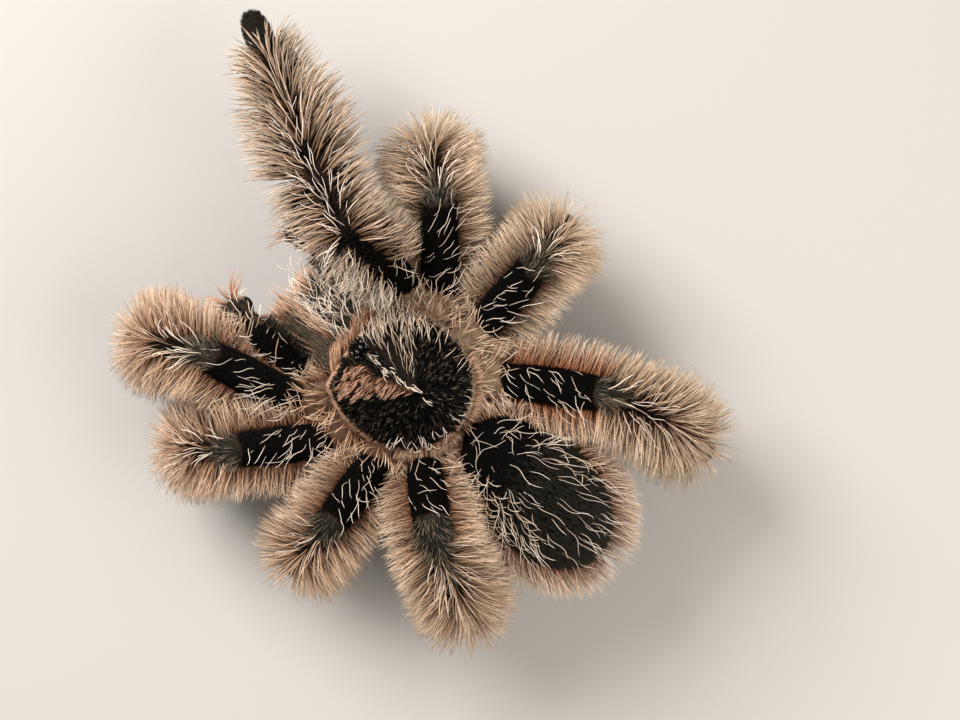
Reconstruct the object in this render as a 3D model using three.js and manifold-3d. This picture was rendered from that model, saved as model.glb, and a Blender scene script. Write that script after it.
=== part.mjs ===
// A curly-haired tarantula, life size, standing with its right front leg reached out.
//
// Units are millimetres. +Z is up and the floor is z = 0. The spider faces -Y, its left side is +X.
// Each solid is the outer form of one body part, out to the tips of its hair.
// The origin is on the floor, under the middle of the model's bounding box.

import * as THREE from "three";
import { mergeVertices } from "three/addons/utils/BufferGeometryUtils.js";
import Module from "manifold-3d";

const wasm = await Module();
wasm.setup();

// ---------------------------------------------------------------- driving dimensions

const GAP = 0.3;             // clearance left between two parts that meet
const HIP_HEIGHT = 24;       // hip joints above the floor, with the spider standing high
const PALP_HEIGHT = 22;      // the palps spring from a little lower
const LEG_SIDES = 10;        // sides of a leg section
const SEGMENT_STEPS = { coxa: 2, femur: 5, patella: 4, tibia: 5, metatarsus: 4, tarsus: 4 };
const STEEPEST = 82;         // degrees, steepest a shin stands
const ANKLE_HEIGHT = 3.4;    // lowest an ankle may be
const TOE_HEIGHT = 1.1;      // centre of the toe above the floor, so that its pad is cut flat there

const CARAPACE = {
  front: -12,
  back: 11,
  widest: -2,
  halfWidth: 11.5,
  narrowing: 0.53,  // of the front edge: 0 leaves it as wide as the middle, 1 brings it to a point
  rim: 25.6,
  dome: 7.0,
  depth: 1.6,
};
const EYE_MOUND = { y: -9.7, halfWidth: 1.6, halfLength: 1.1, height: 1.0, sink: 0.7 };
const STERNUM = { y: -1.2, halfWidth: 6.6, halfLength: 9.0, halfHeight: 2.2, z: 21.6 };
const PEDICEL = { front: 7.5, back: 12.6, radius: 1.7, z: 23.4 };
const ABDOMEN = { front: 11.2, back: 44.0, halfWidth: 12.6, halfHeight: 10.6, z: 23.6, swing: 5 };  // in degrees
const CHELICERA = { back: -11.0, front: -25.0, halfWidth: 3.2, halfHeight: 4.4, backZ: 25.4, frontZ: 20.8 };
const FANG = { length: 8.5, radius: 1.05 };
const SPINNERET = { x: 2.0, y: 37.0, z: 14.6, length: 6.5, radius: 1.2 };

// Segment lengths from the hip outwards: femur, patella, tibia, metatarsus, tarsus.
const LENGTHS = {
  leg1: [18.3, 10.5, 12.4, 10.8, 8.2],
  leg2: [16.6, 9.8, 11.2, 10.4, 8.0],
  leg3: [14.6, 8.9, 9.8, 11.0, 7.8],
  leg4: [18.0, 9.8, 13.0, 14.6, 8.4],
  palp: [13.2, 8.3, 8.6, 8.4],
};

// Half-widths and half-heights of each segment at its start, middle and end.
const LEG_SHAPE = {
  coxa: [[2.6, 3.5, 2.8], [2.6, 3.2, 2.8]],
  femur: [[2.8, 6.2, 4.6], [2.8, 4.7, 4.2]],
  patella: [[4.6, 7.8, 7.2], [4.2, 5.4, 5.4]],
  tibia: [[7.2, 8.8, 7.6], [5.4, 7.6, 7.0]],
  metatarsus: [[7.6, 7.4, 3.4], [7.0, 6.6, 3.0]],
  tarsus: [[3.4, 3.2, 1.8], [3.0, 2.8, 2.0]],
};
const PALP_SHAPE = {
  coxa: [[2.2, 2.6, 2.2], [2.2, 2.6, 2.2]],
  femur: [[2.2, 3.4, 2.9], [2.2, 3.2, 2.9]],
  patella: [[2.9, 4.4, 4.0], [2.9, 3.9, 3.8]],
  tibia: [[4.0, 5.2, 4.0], [3.8, 4.8, 3.8]],
  tarsus: [[4.0, 3.8, 1.9], [3.8, 3.6, 1.9]],
};

// Pose of each limb: the hip's place, then the swing and lift of its segments in degrees.
// Swing turns from straight ahead (0) to the side (90) and back (180); lift is above level.
// A leg that stands has no lift for its last two segments: they are worked out from the floor.
// The fan is how much wider than usual the hair of the lower leg spreads.
const LIMBS = [
  { name: "leg1_right", hip: [-12.6, -10.0], swing: [4, 24, 32, 28, 28], lift: [48, -14, -16, -22, -30] },
  { name: "leg1_left", hip: [13.0, -12.2], swing: [7, 24, 34, 34, 34], lift: [27, -37, -74], fan: 1.04 },
  { name: "leg2_right", hip: [-14.8, -5.2], swing: [53, 40, 36, 36, 36], lift: [26, -45, -80] },
  { name: "leg2_left", hip: [14.4, -5.0], swing: [43, 37, 34, 34, 34], lift: [22, -45, -80], fan: 1.05 },
  { name: "leg3_right", hip: [-14.6, 3.4], swing: [94, 89, 89, 89, 89], lift: [30, -56, -84] },
  { name: "leg3_left", hip: [12.4, 2.8], swing: [92, 84, 82, 82, 82], lift: [30, -52, -76] },
  { name: "leg4_right", hip: [-9.8, 10.8], swing: [151, 166, 174, 174, 174], lift: [26, -16, -54], fan: 1.1 },
  { name: "leg4_left", hip: [8.4, 8.8], swing: [138, 150, 146, 146, 146], lift: [46, -40, -64], fan: 1.12 },
  { name: "palp_right", hip: [-9.4, -14.0], swing: [0, -8, -12, -12], lift: [38, -48, -96, -78] },
  { name: "palp_left", hip: [9.6, -14.0], swing: [-5, -14, -18, -18], lift: [36, -46, -92, -76] },
];

const MATERIALS = {
  black: new THREE.MeshStandardMaterial({ color: 0x1a1511, roughness: 0.85 }),
  dusk: new THREE.MeshStandardMaterial({ color: 0x5c4c3d, roughness: 0.85 }),
  pale: new THREE.MeshStandardMaterial({ color: 0xb39375, roughness: 0.85 }),
  bronze: new THREE.MeshStandardMaterial({ color: 0x3a2b20, roughness: 0.7 }),
  bare: new THREE.MeshStandardMaterial({ color: 0x4c3a2c, roughness: 0.5 }),
  gloss: new THREE.MeshStandardMaterial({ color: 0x0a0808, roughness: 0.2 }),
};

// ---------------------------------------------------------------- solids

const rad = THREE.MathUtils.degToRad;
const lerp = THREE.MathUtils.lerp;

/** A closed solid from a three.js geometry. */
function solid(geometry) {
  const bare = geometry.clone();
  for (const name of Object.keys(bare.attributes)) {
    if (name !== "position") bare.deleteAttribute(name);
  }
  const merged = mergeVertices(bare, 1e-4);
  return new wasm.Manifold(new wasm.Mesh({
    numProp: 3,
    vertProperties: new Float32Array(merged.attributes.position.array),
    triVerts: new Uint32Array(merged.index.array),
  }));
}

/** The three.js geometry of a solid, for a mesh. */
function geometryOf(manifold) {
  const mesh = manifold.getMesh();
  const geometry = new THREE.BufferGeometry();
  geometry.setAttribute("position", new THREE.BufferAttribute(new Float32Array(mesh.vertProperties), 3));
  geometry.setIndex(new THREE.BufferAttribute(new Uint32Array(mesh.triVerts), 1));
  geometry.computeVertexNormals();
  return geometry;
}

/** A geometry through rings of points, each with as many points, closed by a fan at both ends. */
function loft(rings) {
  const sides = rings[0].length;
  const points = rings.flat();
  const index = [];
  for (let r = 0; r + 1 < rings.length; r++) {
    for (let i = 0; i < sides; i++) {
      const a = r * sides + i;
      const b = r * sides + ((i + 1) % sides);
      index.push(a, b, b + sides, a, b + sides, a + sides);
    }
  }
  const caps = [
    { first: 0, ring: rings[0], flip: true },
    { first: (rings.length - 1) * sides, ring: rings[rings.length - 1], flip: false },
  ];
  for (const { first, ring, flip } of caps) {
    const middle = points.length;
    points.push(ring.reduce((sum, p) => sum.add(p), new THREE.Vector3()).divideScalar(sides));
    for (let i = 0; i < sides; i++) {
      const a = first + i;
      const b = first + ((i + 1) % sides);
      index.push(middle, flip ? b : a, flip ? a : b);
    }
  }
  const geometry = new THREE.BufferGeometry();
  geometry.setFromPoints(points);
  geometry.setIndex(index);
  return geometry;
}

/** A unit sphere with its poles on Y, each point moved by shape(x, y, z). */
function shapedBall(around, along, shape) {
  const geometry = new THREE.SphereGeometry(1, around, along);
  const position = geometry.attributes.position;
  const point = new THREE.Vector3();
  for (let i = 0; i < position.count; i++) {
    point.fromBufferAttribute(position, i);
    const moved = shape(point.x, point.y, point.z);
    position.setXYZ(i, ...moved);
  }
  return geometry;
}

// ---------------------------------------------------------------- limbs

/** Direction of a segment from its swing and lift. */
function direction(side, swing, lift) {
  const a = rad(swing);
  const b = rad(lift);
  return new THREE.Vector3(side * Math.sin(a) * Math.cos(b), -Math.cos(a) * Math.cos(b), Math.sin(b));
}

/** Lifts of the shin and foot that bring the toe of a standing leg to the floor. */
function landing(kneeToShin, [shin, foot]) {
  const reach = shin * Math.sin(rad(STEEPEST));
  const ankle = Math.max(ANKLE_HEIGHT, kneeToShin - reach);
  const slope = THREE.MathUtils.radToDeg(Math.asin((kneeToShin - ankle) / shin));
  const tread = THREE.MathUtils.radToDeg(Math.asin((ankle - TOE_HEIGHT) / foot));
  return [slope - 180, -tread];  // the shin leans in under the leg, the foot points out
}

/** The kind of a limb, such as leg1 or palp, which its name starts with. */
function kindOf(limb) {
  return limb.name.split("_")[0];
}

/** Joints of a limb from its coxa's root to its toe, with the upper side of each segment. */
function pose(limb) {
  const kind = kindOf(limb);
  const lengths = LENGTHS[kind];
  const side = Math.sign(limb.hip[0]);
  const hip = new THREE.Vector3(...limb.hip, kind === "palp" ? PALP_HEIGHT : HIP_HEIGHT);
  const root = new THREE.Vector3(hip.x * 0.42, lerp(hip.y, STERNUM.y, 0.62), STERNUM.z + 0.4);
  const joints = [root, hip];
  const inward = hip.clone().sub(root).normalize();
  const uppers = [new THREE.Vector3(0, 0, 1).addScaledVector(inward, -inward.z).normalize()];
  const lifts = [...limb.lift];
  for (let i = 0; i < lengths.length; i++) {
    const start = joints[joints.length - 1];
    if (lifts[i] === undefined) lifts.push(...landing(start.z, lengths.slice(i)));
    joints.push(start.clone().addScaledVector(direction(side, limb.swing[i], lifts[i]), lengths[i]));
    uppers.push(direction(side, limb.swing[i], lifts[i] + 90));
  }
  return { joints, uppers };
}

/** Half-size along a segment, from its values at the start, middle and end. */
function profile([start, middle, end], t) {
  const bulge = middle - (start + end) / 2;
  return lerp(start, end, t) + bulge * Math.sin(Math.PI * t) ** 0.8;
}

/**
 * One segment from joint a to joint b. Its ends lie on the planes that halve the bends at the joints,
 * so it meets the next segment face to face with the gap between them.
 */
function segment(a, b, before, after, upper, shape, steps, grow) {
  const axis = b.clone().sub(a);
  const length = axis.length();
  axis.normalize();
  const across = upper.clone().cross(axis).normalize();
  const [widths, heights] = shape;
  const startPlane = before ? axis.clone().add(before).normalize() : axis;
  const endPlane = after ? axis.clone().add(after).normalize() : axis;
  const rings = [];
  for (let s = 0; s <= steps; s++) {
    const t = s / steps;
    const ring = [];
    for (let i = 0; i < LEG_SIDES; i++) {
      const angle = (2 * Math.PI * i) / LEG_SIDES;
      const w = profile(widths, t) + grow;
      const h = profile(heights, t) + grow;
      const offset = across.clone().multiplyScalar(w * Math.cos(angle))
        .addScaledVector(upper, h * Math.sin(angle));
      const slideStart = (GAP / 2 - offset.dot(startPlane)) / axis.dot(startPlane);
      const slideEnd = (-GAP / 2 - offset.dot(endPlane)) / axis.dot(endPlane);
      const along = lerp(slideStart, length + slideEnd, t);
      ring.push(a.clone().add(offset).addScaledVector(axis, along));
    }
    rings.push(ring);
  }
  return solid(loft(rings));
}

/** The shape of a limb's segments, with the lower ones made wider by the limb's fan of hair. */
function limbShapes(limb) {
  const shapes = kindOf(limb) === "palp" ? PALP_SHAPE : LEG_SHAPE;
  const fan = limb.fan ?? 1;
  const upper = (sizes) => [sizes[0], sizes[1], sizes[2] * fan];
  const lower = (sizes) => sizes.map((size) => size * fan);
  const widen = { patella: upper, tibia: lower, metatarsus: lower, tarsus: lower };
  const same = (sizes) => sizes;
  return Object.entries(shapes).map(([name, sizes]) => [name, sizes.map(widen[name] ?? same)]);
}

/** All segments of a limb as {name, limb, order, solid, grown}, the coxa first. */
function limbSegments(limb) {
  const { joints, uppers } = pose(limb);
  const axes = joints.slice(1).map((joint, i) => joint.clone().sub(joints[i]).normalize());
  return limbShapes(limb).map(([name, shape], i) => {
    const steps = SEGMENT_STEPS[name];
    const make = (grow) =>
      segment(joints[i], joints[i + 1], axes[i - 1], axes[i + 1], uppers[i], shape, steps, grow);
    return { name: `${limb.name}_${name}`, limb: limb.name, order: i, solid: make(0), grown: make(GAP) };
  });
}

// ---------------------------------------------------------------- body

/** Half-width of the carapace at y: a wide oval, cut straight across the front. */
function carapaceWidth(y) {
  const { front, back, widest, halfWidth, narrowing } = CARAPACE;
  if (y < widest) return halfWidth * Math.sqrt(1 - narrowing * ((y - widest) / (front - widest)) ** 2);
  const s = Math.min(1, (y - widest) / (back - widest));
  return halfWidth * (1 - s ** 2.2) ** (1 / 2.2);
}

/** Height of the carapace over its rim at y: the head stands highest, the back slopes down. */
function carapaceHeight(y) {
  const crest = -5;
  const s = y < crest ? (y - crest) / 14 : (y - crest) / 17.5;
  return CARAPACE.dome * (1 - s * s) ** 0.75;
}

function carapace(grow) {
  const around = 20;
  const rings = [];
  const stations = [0, 0.04, 0.12, 0.24, 0.38, 0.52, 0.66, 0.78, 0.88, 0.95, 0.99];
  const last = stations.length - 1;
  stations.forEach((t, station) => {
    const y = lerp(CARAPACE.front, CARAPACE.back, t);
    const overhang = station === 0 ? -grow : station === last ? grow : 0;
    const ease = t === 0 ? 0.9 : 1;  // the front edge is a little rounded
    const ring = [];
    for (let i = 0; i < around; i++) {
      const angle = (2 * Math.PI * i) / around;
      const c = Math.cos(angle);
      const s = Math.sin(angle);
      const x = (carapaceWidth(y) * ease + grow) * c;
      const rise = s > 0 ? (carapaceHeight(y) * ease + grow) * s ** 0.9 : (CARAPACE.depth + grow) * s;
      ring.push(new THREE.Vector3(x, y + overhang, CARAPACE.rim + rise));
    }
    rings.push(ring.reverse());
  });
  return solid(loft(rings));
}

function eyeMound() {
  const base = CARAPACE.rim + carapaceHeight(EYE_MOUND.y) - EYE_MOUND.sink;
  const mound = shapedBall(12, 6, (x, y, z) => [
    EYE_MOUND.halfWidth * x,
    EYE_MOUND.y - EYE_MOUND.halfLength * z,
    base + (EYE_MOUND.height + EYE_MOUND.sink) * y,
  ]);
  return solid(mound);
}

/** The sternum plate joined with the ten coxae that fan out from it, clear of the femora. */
function underside(limbs) {
  const plate = shapedBall(14, 6, (x, y, z) => [
    STERNUM.halfWidth * x,
    STERNUM.y - STERNUM.halfLength * z,
    STERNUM.z + STERNUM.halfHeight * Math.sign(y) * Math.abs(y) ** 0.8,
  ]);
  const femora = limbs.map((segments) => segments[1].grown);
  let joined = femora.reduce((left, femur) => left.subtract(femur), solid(plate));
  limbs.forEach((segments, i) => {
    const others = femora.filter((femur, j) => j !== i);
    joined = joined.add(others.reduce((left, femur) => left.subtract(femur), segments[0].solid));
  });
  return joined;
}

function pedicel() {
  const tube = new THREE.CylinderGeometry(PEDICEL.radius, PEDICEL.radius, PEDICEL.back - PEDICEL.front, 10);
  tube.translate(0, (PEDICEL.back + PEDICEL.front) / 2, PEDICEL.z);
  return solid(tube);
}

/** The abdomen is egg-shaped, widest behind its middle and a little flattened below. */
/** Swings a point of the hind body round the pedicel, towards the spider's left. */
function swung(x, y, z) {
  const turn = rad(ABDOMEN.swing);
  const behind = y - PEDICEL.back;
  return [
    x * Math.cos(turn) + behind * Math.sin(turn),
    PEDICEL.back + behind * Math.cos(turn) - x * Math.sin(turn),
    z,
  ];
}

function abdomen(grow) {
  const middle = (ABDOMEN.front + ABDOMEN.back) / 2;
  const half = (ABDOMEN.back - ABDOMEN.front) / 2 + grow;
  return solid(shapedBall(20, 13, (x, y, z) => {
    const egg = 1 + 0.10 * y;
    return swung(
      (ABDOMEN.halfWidth + grow) * x * egg,
      middle + half * y,
      ABDOMEN.z + (ABDOMEN.halfHeight + grow) * z * egg * (z < 0 ? 0.92 : 1),
    );
  }));
}

/** A chelicera's base: stout, drooping to the front, with a flat inner face beside its twin. */
function chelicera(side, grow) {
  const { back, front, halfWidth, halfHeight, backZ, frontZ } = CHELICERA;
  const centre = side * (halfWidth + GAP / 2);
  return solid(shapedBall(12, 9, (x, y, z) => {
    const t = (1 - y) / 2;  // 0 at the root, 1 at the tip
    const fullness = x * side < 0 ? 0.45 : 0.85;
    const taper = 1 - 0.2 * t;
    const inner = side * halfWidth * (taper - 1);  // keeps the inner face beside the midline
    return [
      centre + inner + (halfWidth * taper + grow) * Math.sign(x) * Math.abs(x) ** fullness,
      lerp(back, front, t),
      lerp(backZ, frontZ, t ** 1.3) + (halfHeight + grow) * z * taper,
    ];
  }));
}

/** A fang folded back under its chelicera, a curved cone. */
function fang(side) {
  const x = side * (CHELICERA.halfWidth + GAP / 2);
  const steps = 6;
  const rings = [];
  for (let s = 0; s <= steps; s++) {
    const t = s / steps;
    const bend = rad(lerp(100, 20, t));
    const centre = new THREE.Vector3(
      x,
      CHELICERA.front + 2.4 + FANG.length * 0.72 * (1 - Math.cos(t * Math.PI / 2)),
      CHELICERA.frontZ - 3.0 - FANG.length * 0.42 * Math.sin(t * Math.PI / 2),
    );
    const radius = FANG.radius * (1 - t) ** 0.7 + 0.25;
    const ring = [];
    for (let i = 0; i < 8; i++) {
      const angle = (2 * Math.PI * i) / 8;
      ring.push(centre.clone().add(new THREE.Vector3(
        radius * Math.cos(angle),
        -radius * Math.sin(angle) * Math.sin(bend),
        -radius * Math.sin(angle) * Math.cos(bend),
      )));
    }
    rings.push(ring);
  }
  return solid(loft(rings));
}

/** A spinneret of three joints that taper to a blunt tip, pointing back under the abdomen. */
function spinneret(side) {
  const joints = [[0, 1], [0.3, 0.9], [0.34, 0.78], [0.62, 0.78], [0.66, 0.68], [0.94, 0.67], [1, 0.33]];
  const rings = joints.map(([t, width]) => {
    const radius = SPINNERET.radius * width;
    const ring = [];
    for (let i = 0; i < 8; i++) {
      const angle = (2 * Math.PI * i) / 8;
      ring.push(new THREE.Vector3(...swung(
        side * (SPINNERET.x + 0.8 * t) - radius * Math.cos(angle),
        SPINNERET.y + SPINNERET.length * t,
        SPINNERET.z - 0.6 * t + radius * Math.sin(angle),
      )));
    }
    return ring;
  });
  return solid(loft(rings));
}

// ---------------------------------------------------------------- assembly

/** The largest closed body of a solid that a cut may have left in several. */
function largest(manifold) {
  const bodies = manifold.decompose();
  return bodies.reduce((best, body) => (body.volume() > best.volume() ? body : best));
}

/** True if two solids' boxes meet. */
function near(a, b) {
  const [p, q] = [a.boundingBox(), b.boundingBox()];
  return [0, 1, 2].every((k) => p.min[k] < q.max[k] && q.min[k] < p.max[k]);
}

const belowFloor = new THREE.BoxGeometry(400, 400, 40);
belowFloor.translate(0, 0, -20);
const floor = solid(belowFloor);

const limbs = LIMBS.map(limbSegments);
const legPieces = limbs.flatMap((segments) => segments.slice(1));

// Each piece is cut back by the pieces before it in this list, with the gap between them.
const pieces = [
  { name: "carapace", material: "bronze", solid: carapace(0), grown: carapace(GAP) },
  { name: "eye_mound", material: "gloss", solid: eyeMound() },
  { name: "chelicera_left", material: "bare", solid: chelicera(1, 0), grown: chelicera(1, GAP) },
  { name: "chelicera_right", material: "bare", solid: chelicera(-1, 0), grown: chelicera(-1, GAP) },
  { name: "fang_left", material: "gloss", solid: fang(1) },
  { name: "fang_right", material: "gloss", solid: fang(-1) },
  ...legPieces.map((piece) => ({
    ...piece,
    material: /femur/.test(piece.name) ? "black" : /patella|tarsus$/.test(piece.name) ? "dusk" : "pale",
  })),
  { name: "sternum", material: "black", solid: underside(limbs), coxae: true },
  { name: "abdomen", material: "black", solid: abdomen(0), grown: abdomen(GAP) },
  { name: "pedicel", material: "bare", solid: pedicel() },
  { name: "spinneret_left", material: "dusk", solid: spinneret(1) },
  { name: "spinneret_right", material: "dusk", solid: spinneret(-1) },
];

/** Neighbours along one limb already meet on a shared plane, and so does a femur with its coxa. */
function meetFaceToFace(a, b) {
  if (a.limb && a.limb === b.limb) return Math.abs(a.order - b.order) === 1;
  return Boolean((a.coxae && b.order === 1) || (b.coxae && a.order === 1));
}

const spider = new THREE.Group();
const placed = [];
for (const piece of pieces) {
  let body = piece.solid.subtract(floor);
  for (const other of placed) {
    if (meetFaceToFace(piece, other) || !near(body, other.grown)) continue;
    body = body.subtract(other.grown);
  }
  body = largest(body);
  placed.push({ ...piece, grown: piece.grown ?? body });
  const mesh = new THREE.Mesh(geometryOf(body), MATERIALS[piece.material]);
  mesh.name = piece.name;
  spider.add(mesh);
}

const box = new THREE.Box3().setFromObject(spider);
const middle = box.getCenter(new THREE.Vector3());
spider.position.set(-middle.x, -middle.y, 0);

export default spider;
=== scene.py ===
# %% [markdown]
# # A curly-haired tarantula
#
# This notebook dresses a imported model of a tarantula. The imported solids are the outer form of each
# body part, out to the tips of its hair. Inside them this script makes one skin, and from the skin
# it grows the coat as real mesh strands, because hair systems don't survive an export.
#
# Everything is worked out in millimetres and turned into Blender's metres when a mesh is made.

# %% Load the frame
import math

import bpy
import mathutils
import numpy as np
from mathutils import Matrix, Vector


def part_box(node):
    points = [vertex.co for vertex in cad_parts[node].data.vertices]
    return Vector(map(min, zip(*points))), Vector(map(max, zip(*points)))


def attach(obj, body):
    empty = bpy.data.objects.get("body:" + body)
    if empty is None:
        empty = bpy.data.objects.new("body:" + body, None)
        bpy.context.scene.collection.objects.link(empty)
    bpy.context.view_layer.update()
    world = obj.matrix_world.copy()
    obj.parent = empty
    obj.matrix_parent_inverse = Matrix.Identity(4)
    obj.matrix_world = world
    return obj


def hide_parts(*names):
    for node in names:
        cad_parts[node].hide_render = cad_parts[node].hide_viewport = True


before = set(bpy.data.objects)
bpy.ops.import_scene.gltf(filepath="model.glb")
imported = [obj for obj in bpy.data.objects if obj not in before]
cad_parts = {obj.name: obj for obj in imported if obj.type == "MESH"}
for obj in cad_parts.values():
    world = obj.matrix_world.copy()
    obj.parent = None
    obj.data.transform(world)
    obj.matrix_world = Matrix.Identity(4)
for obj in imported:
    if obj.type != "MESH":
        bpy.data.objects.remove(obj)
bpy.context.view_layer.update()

MM = 0.001  # metres in a millimetre
rng = np.random.default_rng(11)

# %% [markdown]
# ## Places come from the frame
#
# A node's box gives the place and size of the carapace, the abdomen and so on. The legs need more:
# the points where they bend. Two nodes of a leg meet on a flat face each, with a small gap between,
# so the middle of the largest face that looks at the neighbour is the joint between them.


# %% Boxes and joints
def box_mm(node):
    """Lowest and highest corner of a node, in millimetres."""
    low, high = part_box(node)
    return np.array(low) / MM, np.array(high) / MM


CAD_GAP = 0.3        # between two solids that meet
FACING_REACH = 6.0   # how far apart the middles of two faces that meet may be
PARALLEL = 0.998     # cosine of the angle between two faces that count as parallel
FLAT_WITHIN = 0.1    # how far apart two parallel faces of one flat may lie
END_DEPTH = 1.0      # how much of a node's tip counts as its end


def flats(node):
    """Middles (in millimetres), normals and areas of a node's faces."""
    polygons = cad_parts[node].data.polygons
    middles, normals = np.empty(len(polygons) * 3), np.empty(len(polygons) * 3)
    areas = np.empty(len(polygons))
    polygons.foreach_get("center", middles)
    polygons.foreach_get("normal", normals)
    polygons.foreach_get("area", areas)
    return middles.reshape(-1, 3) / MM, normals.reshape(-1, 3), areas


def meeting(node, neighbour):
    """The middle of the largest flat face of a node that looks at its neighbour across the gap."""
    middles, normals, areas = flats(node)
    other_middles, other_normals, _ = flats(neighbour)
    between = other_middles[None] - middles[:, None]
    gap = np.abs((between * normals[:, None]).sum(axis=2))
    close = (np.linalg.norm(between, axis=2) < FACING_REACH) & (gap < 2 * CAD_GAP)
    facing = (close & (normals @ other_normals.T < -PARALLEL)).any(axis=1)
    middles, normals, areas = middles[facing], normals[facing], areas[facing]
    offset = np.abs(((middles[None] - middles[:, None]) * normals[:, None]).sum(axis=2))
    same_flat = (normals @ normals.T > PARALLEL) & (offset < FLAT_WITHIN)
    largest = same_flat[np.argmax(same_flat @ areas)]
    return np.average(middles[largest], axis=0, weights=areas[largest])


def far_end(node, start):
    """The middle of the end face of a node that lies farthest from a point."""
    points = np.array([v.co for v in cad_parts[node].data.vertices]) / MM
    points = np.unique(points.round(3), axis=0)
    axis = points.mean(axis=0) - start
    reach = (points - start) @ (axis / np.linalg.norm(axis))
    return points[reach > reach.max() - END_DEPTH].mean(axis=0)


def unit(v):
    """Vectors of length one."""
    return v / np.maximum(np.linalg.norm(v, axis=-1, keepdims=True), 1e-9)


LEG_PARTS = ("femur", "patella", "tibia", "metatarsus", "tarsus")
PALP_PARTS = ("femur", "patella", "tibia", "tarsus")
HANDS = ("left", "right")
LIMB_PARTS = {f"leg{n}_{hand}": LEG_PARTS for n in (1, 2, 3, 4) for hand in HANDS}
LIMB_PARTS.update({f"palp_{hand}": PALP_PARTS for hand in HANDS})

joints = {}
for limb, parts in LIMB_PARTS.items():
    nodes = [f"{limb}_{part}" for part in parts]
    path = [meeting(nodes[0], "sternum")]
    for near, far in zip(nodes, nodes[1:]):
        path.append((meeting(near, far) + meeting(far, near)) / 2)
    path.append(far_end(nodes[-1], path[-1]))
    joints[limb] = np.array(path)
print("limbs:", len(joints), "left front toe:", joints["leg1_left"][-1].round(1))

# %% [markdown]
# ## Camera
#
# The camera hangs straight above the spider and is turned so that the head points to the left and a
# little up. It is made before the looks.

# %% The camera
carapace_low, carapace_high = box_mm("carapace")
carapace_middle = (carapace_low + carapace_high) / 2
FOCUS_HEIGHT = 28.0   # the level that the view is framed at
CAMERA_RISE = 300.0   # from that plane up to the camera
VIEW_WIDTH = 153.6    # how much of that level the view spans
VIEW_CENTRE = (-10.2, 6.95, 0.0)  # from the carapace's middle
VIEW_RIGHT = np.array([-0.604, 0.797, 0.0])
VIEW_UP = np.array([-0.797, -0.604, 0.0])
camera_place = carapace_middle + VIEW_CENTRE
camera_place[2] = FOCUS_HEIGHT + CAMERA_RISE


def put_in_scene(name, data):
    """An object for a camera, a light or a mesh."""
    made = bpy.data.objects.new(name, data)
    bpy.context.scene.collection.objects.link(made)
    return made


camera_data = bpy.data.cameras.new("camera")
camera_data.sensor_width = 36.0
camera_data.lens = camera_data.sensor_width * CAMERA_RISE / VIEW_WIDTH
camera_data.clip_start = 0.01
camera = put_in_scene("camera", camera_data)
bpy.context.scene.camera = camera
camera.location = camera_place * MM
camera.rotation_euler = (0.0, 0.0, math.atan2(VIEW_RIGHT[1], VIEW_RIGHT[0]))
print("lens:", round(camera_data.lens, 1), "mm, at", camera_place.round(1))

# %% [markdown]
# ## Mesh helpers
#
# Tubes and strands are rings of points joined by triangles. Numpy makes them by the thousand, and
# one call hands the arrays to Blender, which is far quicker than adding faces one by one.


# %% From arrays to objects
def make_object(name, points, triangles):
    """A mesh object, riding on the body, from points in millimetres and triangles."""
    mesh = bpy.data.meshes.new(name)
    mesh.vertices.add(len(points))
    mesh.vertices.foreach_set("co", (points * MM).astype(np.float32).ravel())
    mesh.loops.add(triangles.size)
    mesh.loops.foreach_set("vertex_index", triangles.astype(np.int32).ravel())
    mesh.polygons.add(len(triangles))
    mesh.polygons.foreach_set("loop_start", np.arange(0, triangles.size, 3, dtype=np.int32))
    mesh.update(calc_edges=True)
    mesh.shade_smooth()
    made = put_in_scene(name, mesh)
    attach(made, "root")
    return made


def loft(rings):
    """Points and triangles of a closed skin over rings (rows, sides, 3), with a pole at both ends."""
    rows, sides, _ = rings.shape
    points = np.concatenate([rings.reshape(-1, 3), rings[:1].mean(axis=1), rings[-1:].mean(axis=1)])
    row, side = np.meshgrid(np.arange(rows - 1), np.arange(sides), indexing="ij")
    a = (row * sides + side).ravel()
    b = (row * sides + (side + 1) % sides).ravel()
    walls = np.concatenate([np.stack([a, b, b + sides], 1), np.stack([a, b + sides, a + sides], 1)])
    first = np.arange(sides)
    last = first + (rows - 1) * sides
    pole = rows * sides
    starts = np.stack([np.full(sides, pole), np.roll(first, -1), first], 1)
    ends = np.stack([np.full(sides, pole + 1), last, np.roll(last, -1)], 1)
    return points, np.concatenate([walls, starts, ends])


def joined(parts):
    """Several (points, triangles) pairs as one."""
    offsets = np.cumsum([0] + [len(points) for points, _ in parts])
    triangles = [triangles + offset for (_, triangles), offset in zip(parts, offsets)]
    return np.concatenate([points for points, _ in parts]), np.concatenate(triangles)


# %% [markdown]
# ## The skin's forms
#
# Under its coat a tarantula is plain: tubes for legs, a domed plate, an egg. One could sculpt them, but
# a few numbers for each are easier to fit inside the solids. Each form is also kept as a *field*: a
# function that says how far a point is from the form, and where along and around it the point lies.
# The fields later tell each spot of the joined skin which part it belongs to.


# %% A rounded tube, for each segment of a limb
def profile(values, t):
    """A smooth run through a start, middle and end value."""
    start, middle, end = values
    return start + (end - start) * t + (middle - (start + end) / 2) * np.sin(math.pi * t) ** 0.8


CAP = np.radians([15, 40, 65])  # the rings that round off a tube's end, as angles from its pole


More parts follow.
